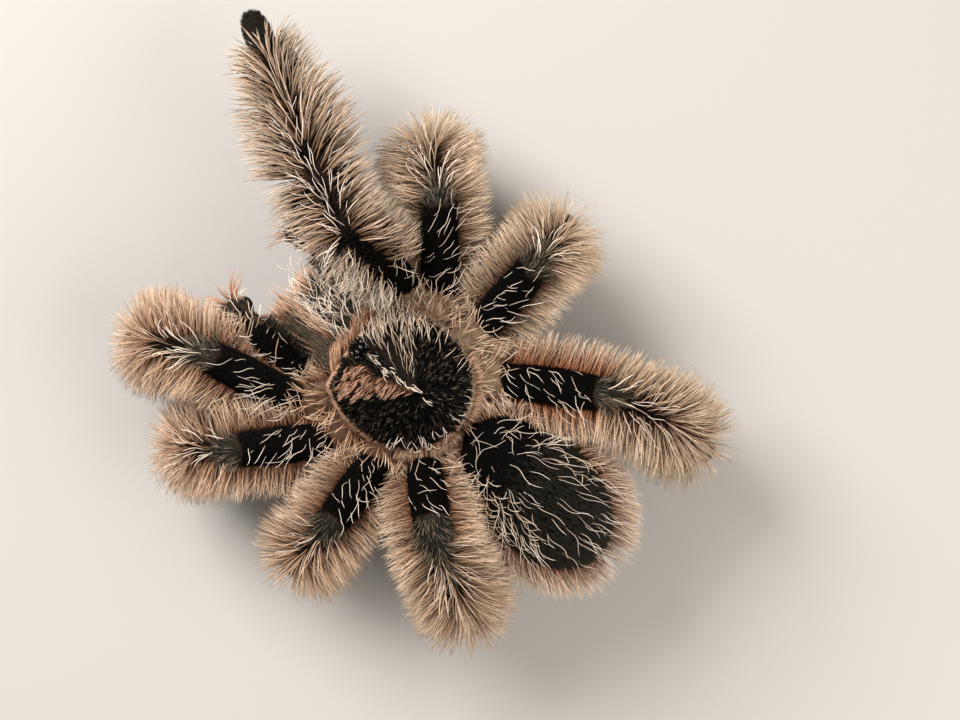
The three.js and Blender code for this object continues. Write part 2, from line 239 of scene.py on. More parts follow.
class Tube:
    """A rounded tube from a to b, with its half-widths and half-heights at start, middle and end."""

    def __init__(self, part, a, b, across, widths, heights, limb="none", order=0):
        self.part, self.limb, self.order, self.a = part, limb, order, a
        self.length = np.linalg.norm(b - a)
        self.axis = (b - a) / self.length
        self.dorsal = unit(np.cross(self.axis, across))
        self.across = np.cross(self.dorsal, self.axis)
        self.widths, self.heights = widths, heights

    def mesh(self, rows=9, sides=18):
        """Its points and triangles."""
        t = np.linspace(0, 1, rows)
        width, height = profile(self.widths, t), profile(self.heights, t)
        start, end = min(width[0], height[0]), min(width[-1], height[-1])
        along = [-start * np.cos(CAP), t * self.length, self.length + end * np.cos(CAP[::-1])]
        along = np.concatenate(along)
        scale = np.sin(CAP)
        width = np.concatenate([width[0] * scale, width, width[-1] * scale[::-1]])
        height = np.concatenate([height[0] * scale, height, height[-1] * scale[::-1]])
        angle = np.linspace(0, 2 * math.pi, sides, endpoint=False)
        rings = (
            self.a
            + along[:, None, None] * self.axis
            + (width[:, None] * np.cos(angle))[..., None] * self.across
            + (height[:, None] * np.sin(angle))[..., None] * self.dorsal
        )
        return loft(rings[:, ::-1])

    def where(self, points):
        """Distance, place along, and cosine and sine of the angle from the upper side."""
        away = points - self.a
        along = away @ self.axis
        t = np.clip(along / self.length, 0, 1)
        width, height = profile(self.widths, t), profile(self.heights, t)
        side, up = away @ self.across / width, away @ self.dorsal / height
        ratio = np.hypot(side, up)      # 1 on the tube's wall
        beyond = np.abs(along - t * self.length)
        distance = (ratio - 1) * (width + height) / 2 + beyond
        return distance, t, up / np.maximum(ratio, 1e-6), side / np.maximum(ratio, 1e-6)


# %% Half-sizes of the bare limbs
BARE_LEG = {
    "femur": ((2.5, 3.1, 2.6), (2.3, 3.0, 2.5)),
    "patella": ((2.2, 2.4, 2.2), (2.4, 2.5, 2.3)),
    "tibia": ((2.1, 2.3, 1.9), (2.2, 2.3, 1.9)),
    "metatarsus": ((1.8, 1.7, 1.6), (1.8, 1.6, 1.5)),
    "tarsus": ((1.7, 2.25, 1.7), (1.5, 1.6, 1.2)),
}
BARE_PALP = {
    "femur": ((1.9, 2.3, 2.0), (1.9, 2.3, 2.0)),
    "patella": ((1.8, 1.9, 1.8), (1.8, 2.0, 1.8)),
    "tibia": ((1.7, 1.8, 1.6), (1.7, 1.8, 1.6)),
    "tarsus": ((1.5, 1.9, 1.3), (1.5, 1.7, 1.2)),
}
COXA_FULLNESS = 1.25           # of the first joint, against the start of the thigh
COXA_FLATNESS = 0.9            # its height, as a share of its width
COXA_ROOT = (0.3, 0.35, 1.6)   # shares of the hip's place from the middle, and the drop below the hip


def flat(v):
    """The level part of a vector."""
    return np.array([v[0], v[1], 0.0])


def limb_tubes(limb):
    """The tubes of a limb, coxa first. Each one's upper side faces up or away from the body."""
    path, parts = joints[limb], LIMB_PARTS[limb]
    bare = BARE_PALP if limb.startswith("palp") else BARE_LEG
    lower = unit(flat(path[2] - path[1])) + unit(flat(path[-1] - path[2]))
    headings = [flat(path[1] - path[0]), flat(path[2] - path[1])] + [lower] * len(parts)
    sternum_low, sternum_high = box_mm("sternum")
    middle = (sternum_low + sternum_high) / 2
    hip, (share_x, share_y, drop) = path[0], COXA_ROOT
    root = np.array([hip[0] * share_x, middle[1] + (hip[1] - middle[1]) * share_y, hip[2] - drop])
    thick = bare["femur"][0][0] * COXA_FULLNESS
    tubes = [Tube("coxa", root, hip, np.cross((0, 0, 1), hip - root),
                  (thick,) * 3, (thick * COXA_FLATNESS,) * 3, limb)]
    for i, part in enumerate(parts):
        across = np.cross((0, 0, 1), headings[i])
        widths, heights = bare[part]
        tubes.append(Tube(part, path[i], path[i + 1], across, widths, heights, limb, i + 1))
    return tubes


tubes = [tube for limb in LIMB_PARTS for tube in limb_tubes(limb)]
print("tubes:", len(tubes))


# %% A rounded body, for the carapace, the abdomen and the chelicerae
class Body:
    """A body along Y whose half-width, rise and drop at y come from functions of a place t, 0 to 1."""

    def __init__(self, part, front, back, centre, width, rise, drop):
        self.part, self.limb, self.order = part, "none", 0
        self.front, self.back, self.centre = front, back, centre
        self.width, self.rise, self.drop = width, rise, drop

    def mesh(self, rows=33, sides=40):
        """Its points and triangles."""
        t = (1 - np.cos(np.linspace(0, math.pi, rows + 2)[1:-1])) / 2
        angle = np.linspace(0, 2 * math.pi, sides, endpoint=False)
        middle = np.stack([self.centre(v) for v in t])
        up = np.sin(angle)
        height = np.where(up > 0, self.rise(t)[:, None] * up, self.drop(t)[:, None] * up)
        across = self.width(t)[:, None] * np.cos(angle)
        y = self.front + (self.back - self.front) * t
        rings = np.stack([middle[:, :1] + across, np.broadcast_to(y[:, None], across.shape),
                          middle[:, 1:] + height], axis=2)
        return loft(rings[:, ::-1])

    def where(self, points):
        """As a tube's: distance, place along, and cosine and sine of the angle from the upper side."""
        t = np.clip((points[:, 1] - self.front) / (self.back - self.front), 0.004, 0.996)
        middle = np.stack([self.centre(v) for v in t])
        side = (points[:, 0] - middle[:, 0]) / self.width(t)
        above = points[:, 2] - middle[:, 1]
        up = above / np.where(above > 0, self.rise(t), self.drop(t))
        ratio = np.maximum(np.hypot(side, up), 1e-6)
        beyond = np.maximum(0, np.maximum(self.front - points[:, 1], points[:, 1] - self.back))
        size = np.minimum(self.width(t), self.rise(t) + self.drop(t))
        return (ratio - 1) * size + beyond, t, up / ratio, side / ratio


def oval(power):
    """A half-width from 0 to 1 and back, round for a power of a half and blunter below it."""
    return lambda t: np.maximum(4 * t * (1 - t), 1e-4) ** power


# %% The carapace: a plate that is cut straight in front, with the head raised
COAT_ON_CARAPACE = 0.7   # how far it stays inside its solid
NARROWING = 0.53   # of the front edge, as on the solid
front, back = carapace_low[1] + COAT_ON_CARAPACE, carapace_high[1] - COAT_ON_CARAPACE
half = (carapace_high[0] - carapace_low[0]) / 2 - COAT_ON_CARAPACE
RIM_SHARE = 0.19   # of the carapace's height, below its rim
rim = carapace_low[2] + (carapace_high[2] - carapace_low[2]) * RIM_SHARE
dome = carapace_high[2] - rim - COAT_ON_CARAPACE
UNDER_RIM = 1.2    # how far it reaches below its rim
WIDEST = 0.44      # place of the greatest width
ROUNDNESS = 2.2    # power of the curve behind that place: 2 would be an ellipse
CREST = 0.31       # place of the greatest height
AHEAD_OF_CREST, BEHIND_CREST = 0.62, 0.76   # how far the dome's two curves would run to reach the rim


def cut_in_front(t):
    """0 to 1 within a short way from the front edge, which is nearly straight."""
    return np.clip(t / 0.03, 0.02, 1) ** 0.35


def carapace_width(t):
    """Half its width."""
    ahead = 1 - NARROWING * (np.maximum(WIDEST - t, 0) / WIDEST) ** 2
    behind = 1 - (np.maximum(t - WIDEST, 0) / (1 - WIDEST)) ** ROUNDNESS
    return half * np.sqrt(ahead) * cut_in_front(t) * np.maximum(behind, 1e-3) ** (1 / ROUNDNESS)


def carapace_rise(t):
    """How high it rises above its rim."""
    s = (t - CREST) / np.where(t < CREST, AHEAD_OF_CREST, BEHIND_CREST)
    return dome * np.maximum(1 - s * s, 1e-3) ** 0.75 * cut_in_front(t)


carapace = Body("carapace", front, back, lambda t: np.array([carapace_middle[0], rim]),
                carapace_width, carapace_rise, lambda t: UNDER_RIM + 0 * t)

# %% The abdomen: an egg that leans to one side
low, high = box_mm("abdomen")
abdomen_middle, abdomen_half = (low + high) / 2, (high - low) / 2
pedicel_low, pedicel_high = box_mm("pedicel")
pedicel_middle = (pedicel_low + pedicel_high) / 2
lean = (abdomen_middle[0] - pedicel_middle[0]) / (abdomen_middle[1] - pedicel_high[1])
COAT_IN_FRONT, COAT_BEHIND, COAT_BESIDE, COAT_ABOVE, COAT_BELOW = 0.6, 3.6, 2.7, 0.8, 1.5
abdomen_front, abdomen_back = low[1] + COAT_IN_FRONT, high[1] - COAT_BEHIND
bare_width = abdomen_half[0] - COAT_BESIDE


def egg(size):
    """A half-size along the egg, greatest a little behind its middle."""
    return lambda t: size * oval(0.5)(t) * (0.94 + 0.12 * t)


def abdomen_centre(t):
    """The middle of the egg, across and up."""
    y = abdomen_front + (abdomen_back - abdomen_front) * t
    return np.array([abdomen_middle[0] + lean * (y - abdomen_middle[1]), abdomen_middle[2]])


abdomen = Body("abdomen", abdomen_front, abdomen_back, abdomen_centre, egg(bare_width),
               egg(abdomen_half[2] - COAT_ABOVE), egg(abdomen_half[2] - COAT_BELOW))

# %% The chelicerae, the sternum, the pedicel and the spinnerets
DROOP = 2.4    # how far a chelicera's tip lies below its middle, and its root above it


def chelicera(hand):
    """A blunt roll that droops to the front, with a heavier tip where the fang is hinged."""
    low, high = box_mm(f"chelicera_{hand}")
    middle, half_size = (low + high) / 2, (high - low) / 2
    half_width, half_height = half_size[0] - 0.05, half_size[2] - DROOP
    return Body("chelicera", low[1] + 1.0, high[1] + 3.0,
                lambda t: np.array([middle[0], middle[2] - DROOP + 2 * DROOP * t]),
                lambda t: half_width * oval(0.17)(t) * (0.92 + 0.08 * t),
                lambda t: half_height * oval(0.22)(t) * (0.82 + 0.18 * t),
                lambda t: half_height * oval(0.22)(t) * (0.82 + 0.18 * t + 0.36 * (1 - t) ** 4))


bodies = [carapace, abdomen] + [chelicera(hand) for hand in HANDS]
STERNUM_WIDTH, STERNUM_LENGTH, STERNUM_DEPTH, STERNUM_BELOW_RIM = 5.4, 17.0, 2.0, 3.2
sternum_y = (carapace_low[1] + carapace_high[1]) / 2 - 0.5
bodies.append(Body("sternum", sternum_y - STERNUM_LENGTH / 2, sternum_y + STERNUM_LENGTH / 2,
                   lambda t: np.array([carapace_middle[0], rim - STERNUM_BELOW_RIM]),
                   lambda t: STERNUM_WIDTH * oval(0.45)(t),
                   lambda t: STERNUM_DEPTH * 1.8 * oval(0.4)(t),
                   lambda t: STERNUM_DEPTH * oval(0.4)(t)))
ACROSS = np.array([1.0, 0.0, 0.0])
WAIST, WAIST_REACH = (1.6, 1.5, 1.6), 3.0     # its half-sizes, and how far it runs into both neighbours
waist = [np.array([pedicel_middle[0], y, pedicel_middle[2]])
         for y in (pedicel_low[1] - WAIST_REACH, pedicel_high[1] + WAIST_REACH)]
tubes.append(Tube("pedicel", *waist, ACROSS, WAIST, WAIST))
SPINNERET = (1.2, 1.0, 0.5)    # its half-sizes at root, middle and tip
for hand in HANDS:
    low, high = box_mm(f"spinneret_{hand}")
    middle = (low + high) / 2
    root = np.array([middle[0], low[1] - 1, middle[2] + 0.5])
    tip = np.array([middle[0], high[1] - 0.6, middle[2]])
    tubes.append(Tube("spinneret", root, tip, ACROSS, SPINNERET, SPINNERET))
mound_low, mound_high = box_mm("eye_mound")
mound_middle, mound_half = (mound_low + mound_high) / 2, (mound_high - mound_low) / 2
MOUND_FOOT = 0.8   # how far up the dome the mound stands
bodies.append(Body("eye_mound", mound_low[1], mound_high[1],
                   lambda t: np.array([mound_middle[0], rim + dome * MOUND_FOOT]),
                   lambda t: mound_half[0] * oval(0.4)(t),
                   lambda t: (mound_high[2] - rim - dome * MOUND_FOOT - 0.15) * oval(0.3)(t),
                   lambda t: 0.5 + 0 * t))
print("bodies:", [body.part for body in bodies])

# %% [markdown]
# ## One skin
#
# The forms cut into each other. Voxel remeshing wraps them all in one even mesh, as shrink film
# would, and a few rounds of smoothing turn the creases where they met into soft folds. That even
# mesh is also the best ground for the coat: its vertices are spread evenly, so they serve as roots.

# %% Wrap the forms in one skin
VOXEL = 0.41   # the size of the skin's faces
forms = tubes + bodies
points, triangles = joined([form.mesh() for form in forms])
skin = make_object("skin", points, triangles)
remesh = skin.modifiers.new("wrap", "REMESH")
remesh.mode = "VOXEL"
remesh.voxel_size = VOXEL * MM
smooth = skin.modifiers.new("soften", "SMOOTH")
smooth.factor = 0.5
smooth.iterations = 4


def apply_modifiers(thing):
    """Replaces an object's mesh by what its modifiers make of it."""
    evaluated = thing.evaluated_get(bpy.context.evaluated_depsgraph_get())
    mesh = bpy.data.meshes.new_from_object(evaluated)
    thing.modifiers.clear()
    thing.data = mesh
    mesh.name = thing.name


apply_modifiers(skin)
skin.data.shade_smooth()
print("wrapped:", len(forms), "forms in", len(skin.data.polygons), "faces")


# %% The pit in the carapace
def read(mesh, what):
    """The places or the normals of a mesh's vertices as an array."""
    values = np.empty(len(mesh.vertices) * 3, np.float32)
    mesh.vertices.foreach_get(what, values)
    return values.reshape(-1, 3).astype(float)


PIT_Y = 2.2           # the pit, behind the carapace's middle
PIT_DEPTH, PIT_HALF_WIDTH, PIT_HALF_LENGTH = 0.9, 1.3, 0.6
FURROWS = (-150, -115, -82, -42, 42, 82, 115, 150)   # their bearings round the pit, in degrees
FURROW_DEPTH, FURROW_WIDTH = 0.35, 0.55
RADIAN = 57.3         # in degrees


def groove(points, normals):
    """How far the carapace's pit and the furrows that run out of it press in, in millimetres."""
    px, py = points[:, 0] - carapace_middle[0], points[:, 1] - carapace_middle[1] - PIT_Y
    reach = np.hypot(px, py)
    turn = np.degrees(np.arctan2(px, -py))
    furrows = sum(np.exp(-((turn - centre) * reach / RADIAN / FURROW_WIDTH) ** 2) for centre in FURROWS)
    furrows = furrows * np.exp(-((reach - 4.0) / 3.2) ** 2) * FURROW_DEPTH
    pit = PIT_DEPTH * np.exp(-(px / PIT_HALF_WIDTH) ** 2 - (py / PIT_HALF_LENGTH) ** 2)
    inside = (reach < 10) & (points[:, 2] > rim + 0.8) & (normals[:, 2] > 0.2) & (py < 9)
    return np.where(inside, np.maximum(furrows, pit), 0.0)


skin_points = read(skin.data, "co") / MM
skin_normals = read(skin.data, "normal")
skin_points = skin_points - groove(skin_points, skin_normals)[:, None] * skin_normals
skin.data.vertices.foreach_set("co", (skin_points * MM).astype(np.float32).ravel())
skin.data.update()
skin_normals = read(skin.data, "normal")
print("skin vertices:", len(skin_points), "deepest:", round(groove(skin_points, skin_normals).max(), 2))

# %% [markdown]
# ## A map of the skin
#
# Every vertex asks each form how near it is and keeps the nearest one's answer: which part it is on,
# how far along it, how far round from the upper side, and which way the hair there should point.
# Colours and coat both read this map, which is how the two stay in register.

# %% Ask every vertex where it is
count = len(skin_points)
nearest = np.full(count, np.inf)
part, limb_of = np.full(count, "", dtype="U12"), np.full(count, "", dtype="U12")
order = np.zeros(count, int)
along, up, side = np.zeros(count), np.zeros(count), np.zeros(count)
flow = np.tile([0.0, 1.0, 0.0], (count, 1))     # the way to the tip, or to the back
outward = np.zeros((count, 3))                  # the way round, down the nearer flank
for form in forms:
    distance, t, upward, sideways = form.where(skin_points)
    closer = np.abs(distance) < nearest
    nearest[closer] = np.abs(distance)[closer]
    part[closer], limb_of[closer], order[closer] = form.part, form.limb, form.order
    along[closer], up[closer], side[closer] = t[closer], upward[closer], sideways[closer]
    if isinstance(form, Tube):
        flow[closer] = form.axis
        outward[closer] = np.sign(sideways[closer])[:, None] * form.across
    else:
        flow[closer] = (0.0, 1.0, 0.0)
        outward[closer] = np.sign(skin_points[closer, :1]) * (1.0, 0.0, 0.0)

x, y, z = (skin_points - (carapace_middle[0], carapace_middle[1], 0.0)).T
area = VOXEL ** 2  # of skin around each vertex
outward[part == "abdomen"] = unit(np.stack([x, 0 * x, 0 * x], 1))[part == "abdomen"]
unwrap = np.stack([(order + along) / 6, np.arctan2(side, up) / (2 * math.pi) + 0.5], 1)
print({name: int((part == name).sum()) for name in sorted(set(part))})


def on(*names):
    """True for the skin's vertices on these parts."""
    return np.isin(part, names)


def ramp(low, high, v):
    """0 below low, 1 above high (or the reverse), with a smooth way between."""
    t = np.clip((v - low) / (high - low), 0, 1)
    return t * t * (3 - 2 * t)


# %% [markdown]
# ## Markings
#
# Three numbers say the colour of a spot: *pale* runs from black to tan, *warm* turns the tan to
# rust, and *dusk* turns it to the grey-green of the knees. They could be painted on a texture, but
# masks worked out at the vertices need no unwrapping, and the same masks also say where each kind of
# hair grows, so skin and coat agree. The carapace has a rusty wedge from its pit to the left front
# corner, its rust partly the hair's own and partly a painted sheen of warm light on that side of the
# head, a field of straw-coloured strands on the right, and black behind. The extra warmth of the
# limbs, hips and rim on the spider's left is painted warm light as well. The abdomen is black on top,
# with a ragged edge above its tan flanks.


# %% Noise, and the distance from the carapace's rim
def ripple(points, scale, seed):
    """Smooth noise about 0, made of a few waves."""
    dice = np.random.default_rng(seed)
    total = np.zeros(len(points))
    for _ in range(6):
        direction = unit(dice.normal(size=3)) * dice.uniform(0.6, 1.6) / scale
        total += np.sin(points @ direction + dice.uniform(0, 2 * math.pi))
    return total / 3


def inset_from_rim():
    """How far inside the carapace's outline each of its vertices lies, seen from above."""
    t = np.linspace(0, 1, 161)
    outline_y = front + (back - front) * t - carapace_middle[1]
    outline = np.concatenate([np.stack([hand * carapace_width(t), outline_y], 1) for hand in (-1, 1)])
    inset = np.full(count, np.inf)
    here = np.flatnonzero(on("carapace"))
    away = np.stack([x[here], y[here]], 1)[:, None] - outline[None]
    inset[here] = np.hypot(away[..., 0], away[..., 1]).min(axis=1)
    return inset


inset = inset_from_rim()
ragged, broad = ripple(skin_points, 0.5, 3), ripple(skin_points, 2.0, 5)
print("deepest inside the rim:", round(inset[on("carapace")].max(), 1), "mm")

# %% Masks of the carapace and the abdomen
left = x > 0
plate = on("carapace") * ramp(-0.25, 0.1, up)
bearing = np.degrees(np.arctan2(x, PIT_Y - y))  # round the pit: 0 is ahead, 90 is the spider's left
# The wedge: rust-coloured hair, its warm glow partly a painted sheen of light on the head's left slope.
rust_and_sheen_wedge = plate * ramp(-10.0, -9.2, y) * ramp(1.6, 2.4, inset)
rust_and_sheen_wedge = rust_and_sheen_wedge * ramp(9, 14, bearing + 4 * ragged) * ramp(41, 36, bearing + 4 * ragged)
straw = plate * ramp(-5, -10, bearing + 3 * ragged) * ramp(-58, -38, bearing + 8 * ragged)
abdomen_x = skin_points[:, 0] - pedicel_middle[0] - lean * (skin_points[:, 1] - pedicel_high[1])
abdomen_y = skin_points[:, 1] - abdomen_front
belt = on("abdomen") * ramp(0.40, 0.24, up + 0.05 * ragged + 0.05 * broad)
belt = belt * ramp(2, 6, abdomen_y)
print("vertices of wedge, straw, belt:", [int((mask > 0.5).sum()) for mask in (rust_and_sheen_wedge, straw, belt)])

# %% Masks of the legs: black velvet on the thigh, a dusky knee, and the shin beyond
RAISED_LEG = "leg1_right"
raised_leg, palps = limb_of == RAISED_LEG, np.char.startswith(limb_of, "palp")
femur, patella = on("femur"), on("patella")
velvet_end = np.full(count, 0.97)      # how far the black velvet goes: 1 is the thigh's end
for name, end in {RAISED_LEG: 0.5, "leg4_left": 0.78}.items():
    velvet_end[limb_of == name] = end
velvet = femur & ((along < velvet_end) | palps)
shin = (on("patella", "tibia", "metatarsus") | (femur & raised_leg)) & ~velvet
knee_end = np.where(np.isin(limb_of, ("leg4_left", "leg3_right")), 0.8, 0.36)   # how far it is dusky
knee = patella * ramp(0.0, -0.22, along - knee_end + 0.05 * ragged)
knee = np.maximum(knee, femur * ramp(-0.02, 0.03, along - velvet_end + 0.02 * ragged))
knee = knee * ~raised_leg * ~palps
knee = np.maximum(knee, 0.6 * palps * patella * ramp(0.6, 0.9, along))
print("vertices of velvet, shin, knee:", [int((mask > 0.5).sum()) for mask in (velvet, shin, knee)])

# %% The skin's three numbers
skin_pale = np.zeros(count)
skin_pale[femur] = 0.85 * ramp(0.22, 0.10, up[femur])
skin_pale[shin] = 0.25 * ramp(0.95, 0.6, up[shin])
skin_pale[femur & raised_leg & (side > 0)] = 0.0       # black under the white arcs
skin_pale[on("coxa")] = np.where(left, 0.26, 0.62)[on("coxa")]
skin_pale[on("sternum", "pedicel", "spinneret")] = 0.2
skin_pale[on("chelicera")] = 0.25
for share, mask in ((0.22, rust_and_sheen_wedge), (0.06, straw), (0.75, belt), (0.25, knee)):
    skin_pale = np.maximum(skin_pale, share * mask)
# The wedge's warmth is partly the hair's own rust and partly painted sheen.
skin_warm = rust_and_sheen_wedge.copy()
skin_warm[shin] = 0.45
skin_warm[femur] = 0.85
# The left hips' extra warmth is painted warm light on that side.
skin_warm[on("coxa")] = np.where(left, 0.62, 0.15)[on("coxa")]
skin_warm[on("abdomen")] = 0.55
skin_dusk = np.maximum(knee, 0.75 * on("chelicera"))
skin_dusk = np.maximum(skin_dusk, 0.6 * on("tarsus"))
print("pale vertices:", int((skin_pale > 0.5).sum()))

# %% [markdown]
# ## Growing hair
#
# A hair is a chain of triangles: rings of three points that shrink along a curved line and end in a
# point. The line starts in one direction and bends into another. A wave or a hook turns it on the
# way. Bevelled curve objects would do the same one by one; here thousands of hairs are grown in one
# go, as an array of shape (hairs, rings, 3).

# %% Where hairs grow, and the random numbers that tell them apart
coats = {}           # piece name: a list of grown layers


def pick(weight, density):
    """Vertices of the skin at random: density hairs per square millimetre where the weight is 1."""
    weight = np.clip(weight, 0, None)
    number = int(round(weight.sum() * area * density))
    return rng.choice(count, number, p=weight / weight.sum())


def spread(low, high, number):
    """A random number for each hair."""
    return rng.uniform(low, high, number)


def gather(base, length, tuft):
    """For each hair, the way to the middle of its tuft, as a share of its length."""
    if tuft <= 1 or len(base) < 2 * tuft:
        return np.zeros_like(base)
    middles = base[rng.choice(len(base), len(base) // tuft, replace=False)]
    closest = np.empty(len(base), int)
    for first in range(0, len(base), 2000):     # in batches, to save memory
        some = base[first:first + 2000]
        closest[first:first + 2000] = ((some[:, None] - middles[None]) ** 2).sum(axis=2).argmin(axis=1)
    return (middles[closest] - base) / length[:, None]


# %% The line of a hair
ROOT_DEPTH = 0.12      # how deep in the skin a hair starts
SCATTER = 0.25         # how far beside its vertex at most
FLOOR_GAP = 0.12       # how near a hair may come to the ground
LENGTHS = (0.75, 1.08)  # how much the lengths of a layer's hairs differ


def curves(roots, start, end, length, bends, wave=0.0, hook=0.0, jitter=0.12, tuft=1, clump=0.0):
    """The hairs' lines and their headings (hairs, bends + 1, 3), and a direction beside each line."""
    number = len(roots)
    start = unit(unit(start) + rng.normal(0, jitter, (number, 3)))
    end = unit(unit(end) + rng.normal(0, jitter, (number, 3)))
    length = length * spread(*LENGTHS, number)
    normal = skin_normals[roots]
    tangent = unit(np.cross(normal, rng.normal(size=(number, 3))))
    base = skin_points[roots] + tangent * spread(0, SCATTER, number)[:, None] - ROOT_DEPTH * normal
    s = np.linspace(0, 1, bends + 1)[None, :, None]
    first = unit(np.cross(start, rng.normal(size=(number, 3))))
    second = np.cross(start, first)
    phase = spread(0, 2 * math.pi, number)[:, None, None]
    heading = start[:, None] * (1 - s) + end[:, None] * s
    heading = heading + clump * gather(base, length, tuft)[:, None] * (1.5 - s)
    heading = heading + wave * np.sin(phase + 2.6 * math.pi * s) * first[:, None]
    turn = phase + 2 * math.pi * spread(0.3, 0.9, number)[:, None, None] * s
    heading = heading + hook * s ** 1.5 * (np.cos(turn) * first[:, None] + np.sin(turn) * second[:, None])
    heading = unit(heading)
    steps = (heading[:, :-1] + heading[:, 1:]) / 2 * (length / bends)[:, None, None]
    line = np.concatenate([base[:, None], base[:, None] + np.cumsum(steps, axis=1)], axis=1)
    line[..., 2] = np.maximum(line[..., 2], FLOOR_GAP)
    return line, heading, first[:, None] + 0.3 * second[:, None]


# %% The mesh of a hair
def strip(bends):
    """The triangles of one hair with this many bends, over rings of three points and a tip."""
    around = ((0, 1), (1, 2), (2, 0))
    walls = []
    for r in range(bends - 1):
        for a, b in around:
            walls += [[3 * r + a, 3 * r + b, 3 * r + 3 + b], [3 * r + a, 3 * r + 3 + b, 3 * r + 3 + a]]
    return np.array(walls + [[3 * bends - 3 + a, 3 * bends - 3 + b, 3 * bends] for a, b in around])


def grow(piece, roots, start, end, length, radius=0.09, bends=5, pale=1.0, warm=0.0, dusk=0.0,
         tones=(0.0, 1.0), pales=(0.85, 1.0), warm_root=0.0, light_root=0.0, **bending):
    """Grows a hair from each root. A setting is one value for all of them or an array of one for each.

    A hair is the lighter the higher its tone, which is drawn from tones, and its pale is multiplied by
    a draw from pales. Its roots may be warmer (warm_root) or as light as its tip (light_root).
    """
    number, per_hair = len(roots), 3 * bends + 1
    line, heading, beside = curves(roots, start, end, length, bends, **bending)
    s = np.linspace(0, 1, bends + 1)[None, :, None]
    sideways = unit(np.cross(heading, beside))
    upward = np.cross(sideways, heading)
    thickness = (radius * spread(0.8, 1.2, number))[:, None, None] * (1 - 0.65 * s ** 2)
    corners = np.radians([90, 210, 330])[:, None]
    ring = np.cos(corners) * sideways[:, :-1, None] + np.sin(corners) * upward[:, :-1, None]
    ring = line[:, :-1, None] + ring * thickness[:, :-1, None]
    points = np.concatenate([ring.reshape(number, -1, 3), line[:, -1:]], axis=1)
    share = np.concatenate([np.repeat(s[0, :-1, 0], 3), [1.0]])
    triangles = strip(bends)[None] + (np.arange(number) * per_hair)[:, None, None]
    hair_pale = pale * spread(*pales, number)
    hair_warm = (warm + spread(-0.12, 0.12, number))[:, None] + warm_root * (1 - share)[None]
    coats.setdefault(piece, []).append({
        "points": points.reshape(-1, 3),
        "triangles": triangles.reshape(-1, 3),
        "along": np.tile(light_root + (1 - light_root) * share, number),
        "tone": np.repeat(spread(*tones, number), per_hair),
        "pale": np.repeat(np.clip(hair_pale, 0, 1), per_hair),
        "warm": np.clip(hair_warm, 0, 1).ravel(),
        "dusk": np.repeat(np.broadcast_to(dusk, number), per_hair),
        "round": np.tile(np.concatenate([np.tile([0.0, 0.5, 1.0], bends), [0.5]]), number),
        "unwrap": unwrap[roots],
        "per_hair": per_hair,
    })


# %% Layers of hair
WHITE = dict(tones=(1.6, 2.2), pales=(1.0, 1.0), light_root=0.35)


def comb(normal_share, outward_share, flow_share, lift=0.0):
    """Directions over the skin, mixed from its normal, the way round and the way to the tip."""
    down_the_flank = outward_share * np.abs(side)[:, None] * outward
    return normal_share * skin_normals + down_the_flank + flow_share * flow + (0.0, 0.0, lift)


def cover(piece, where, start, end, density, length, **how):
    """Grows a layer of hair. What varies is an array over the skin, and a pair of lengths is a range."""
    roots = pick(where, density)
    if isinstance(length, tuple):
        length = spread(*length, len(roots))
    else:
        length = np.broadcast_to(length, count)[roots]
    start, end = [np.broadcast_to(direction, (count, 3))[roots] for direction in (start, end)]
    how = {key: value[roots] if isinstance(value, np.ndarray) else value for key, value in how.items()}
    grow(piece, roots, start, end, length, **how)


def pile(piece, where, density, length, **colour):
    """Short straight fur, one cone a hair."""
    lie = comb(0.5, 0.1, 0.9)
    cover(piece, where, lie, lie, density, length, bends=1, **colour)


# %% [markdown]
# ## The legs' coat
#
# Beyond the knee each leg is a bottle brush of long pale hair. On the raised leg the hair parts along
# the top and shows a black line. On the standing legs the shins drop steeply, so from above the brush
# is a round fan around a dusky knee. The thighs are black velvet with a pale fringe on their sides,
# rusty at its roots, crossed by a few long white curls. The feet have a close dark pile. The ten limbs
# share one recipe, and small tables hold what sets them apart.

# %% What sets the limbs and their parts apart
RAISED = {  # length at the start and end of the part, forward sweep at the root and at the tip
    "femur": (6.0, 7.0, 0.10, -0.10),
    "patella": (6.5, 8.5, 0.15, 0.00),
    "tibia": (9.5, 9.0, 0.75, 0.25),
    "metatarsus": (8.5, 6.5, 1.10, 0.45),
    "tarsus": (3.4, 1.6, 1.30, 1.10),
}
STANDING = {
    "patella": (7.0, 7.5, 0.05, 0.25),
    "tibia": (8.4, 8.0, 0.25, 0.30),
    "metatarsus": (8.0, 6.0, 0.45, 0.65),
    "tarsus": (4.0, 1.8, 1.00, 1.20),
}
DENSITY = {"femur": 3.4, "patella": 3.4, "tibia": 4.0, "metatarsus": 4.0, "tarsus": 2.2}
PARTING = {"femur": 0.94, "patella": 0.90, "tibia": 0.95, "metatarsus": 0.985}  # 1 is the upper side
RUSTY = dict.fromkeys(LIMB_PARTS, 0.12)   # how rusty the roots of a thigh's fringe are
RUSTY.update(leg4_right=0.85, leg4_left=0.35)
# Each limb's own tint; the higher values on the spider's left side are painted warm light on that side.
WARMTH_AND_PAINTED_LIGHT = {"leg1_left": 0.26, "leg2_left": 0.26, "leg3_left": 0.22, "leg4_left": 0.10, "palp_left": 0.55,
          "leg1_right": 0.12, "leg2_right": 0.02, "leg3_right": 0.02, "leg4_right": 0.02, "palp_right": 0.3}
PALP_SIZE = 0.62    # of a palp's hair against a leg's


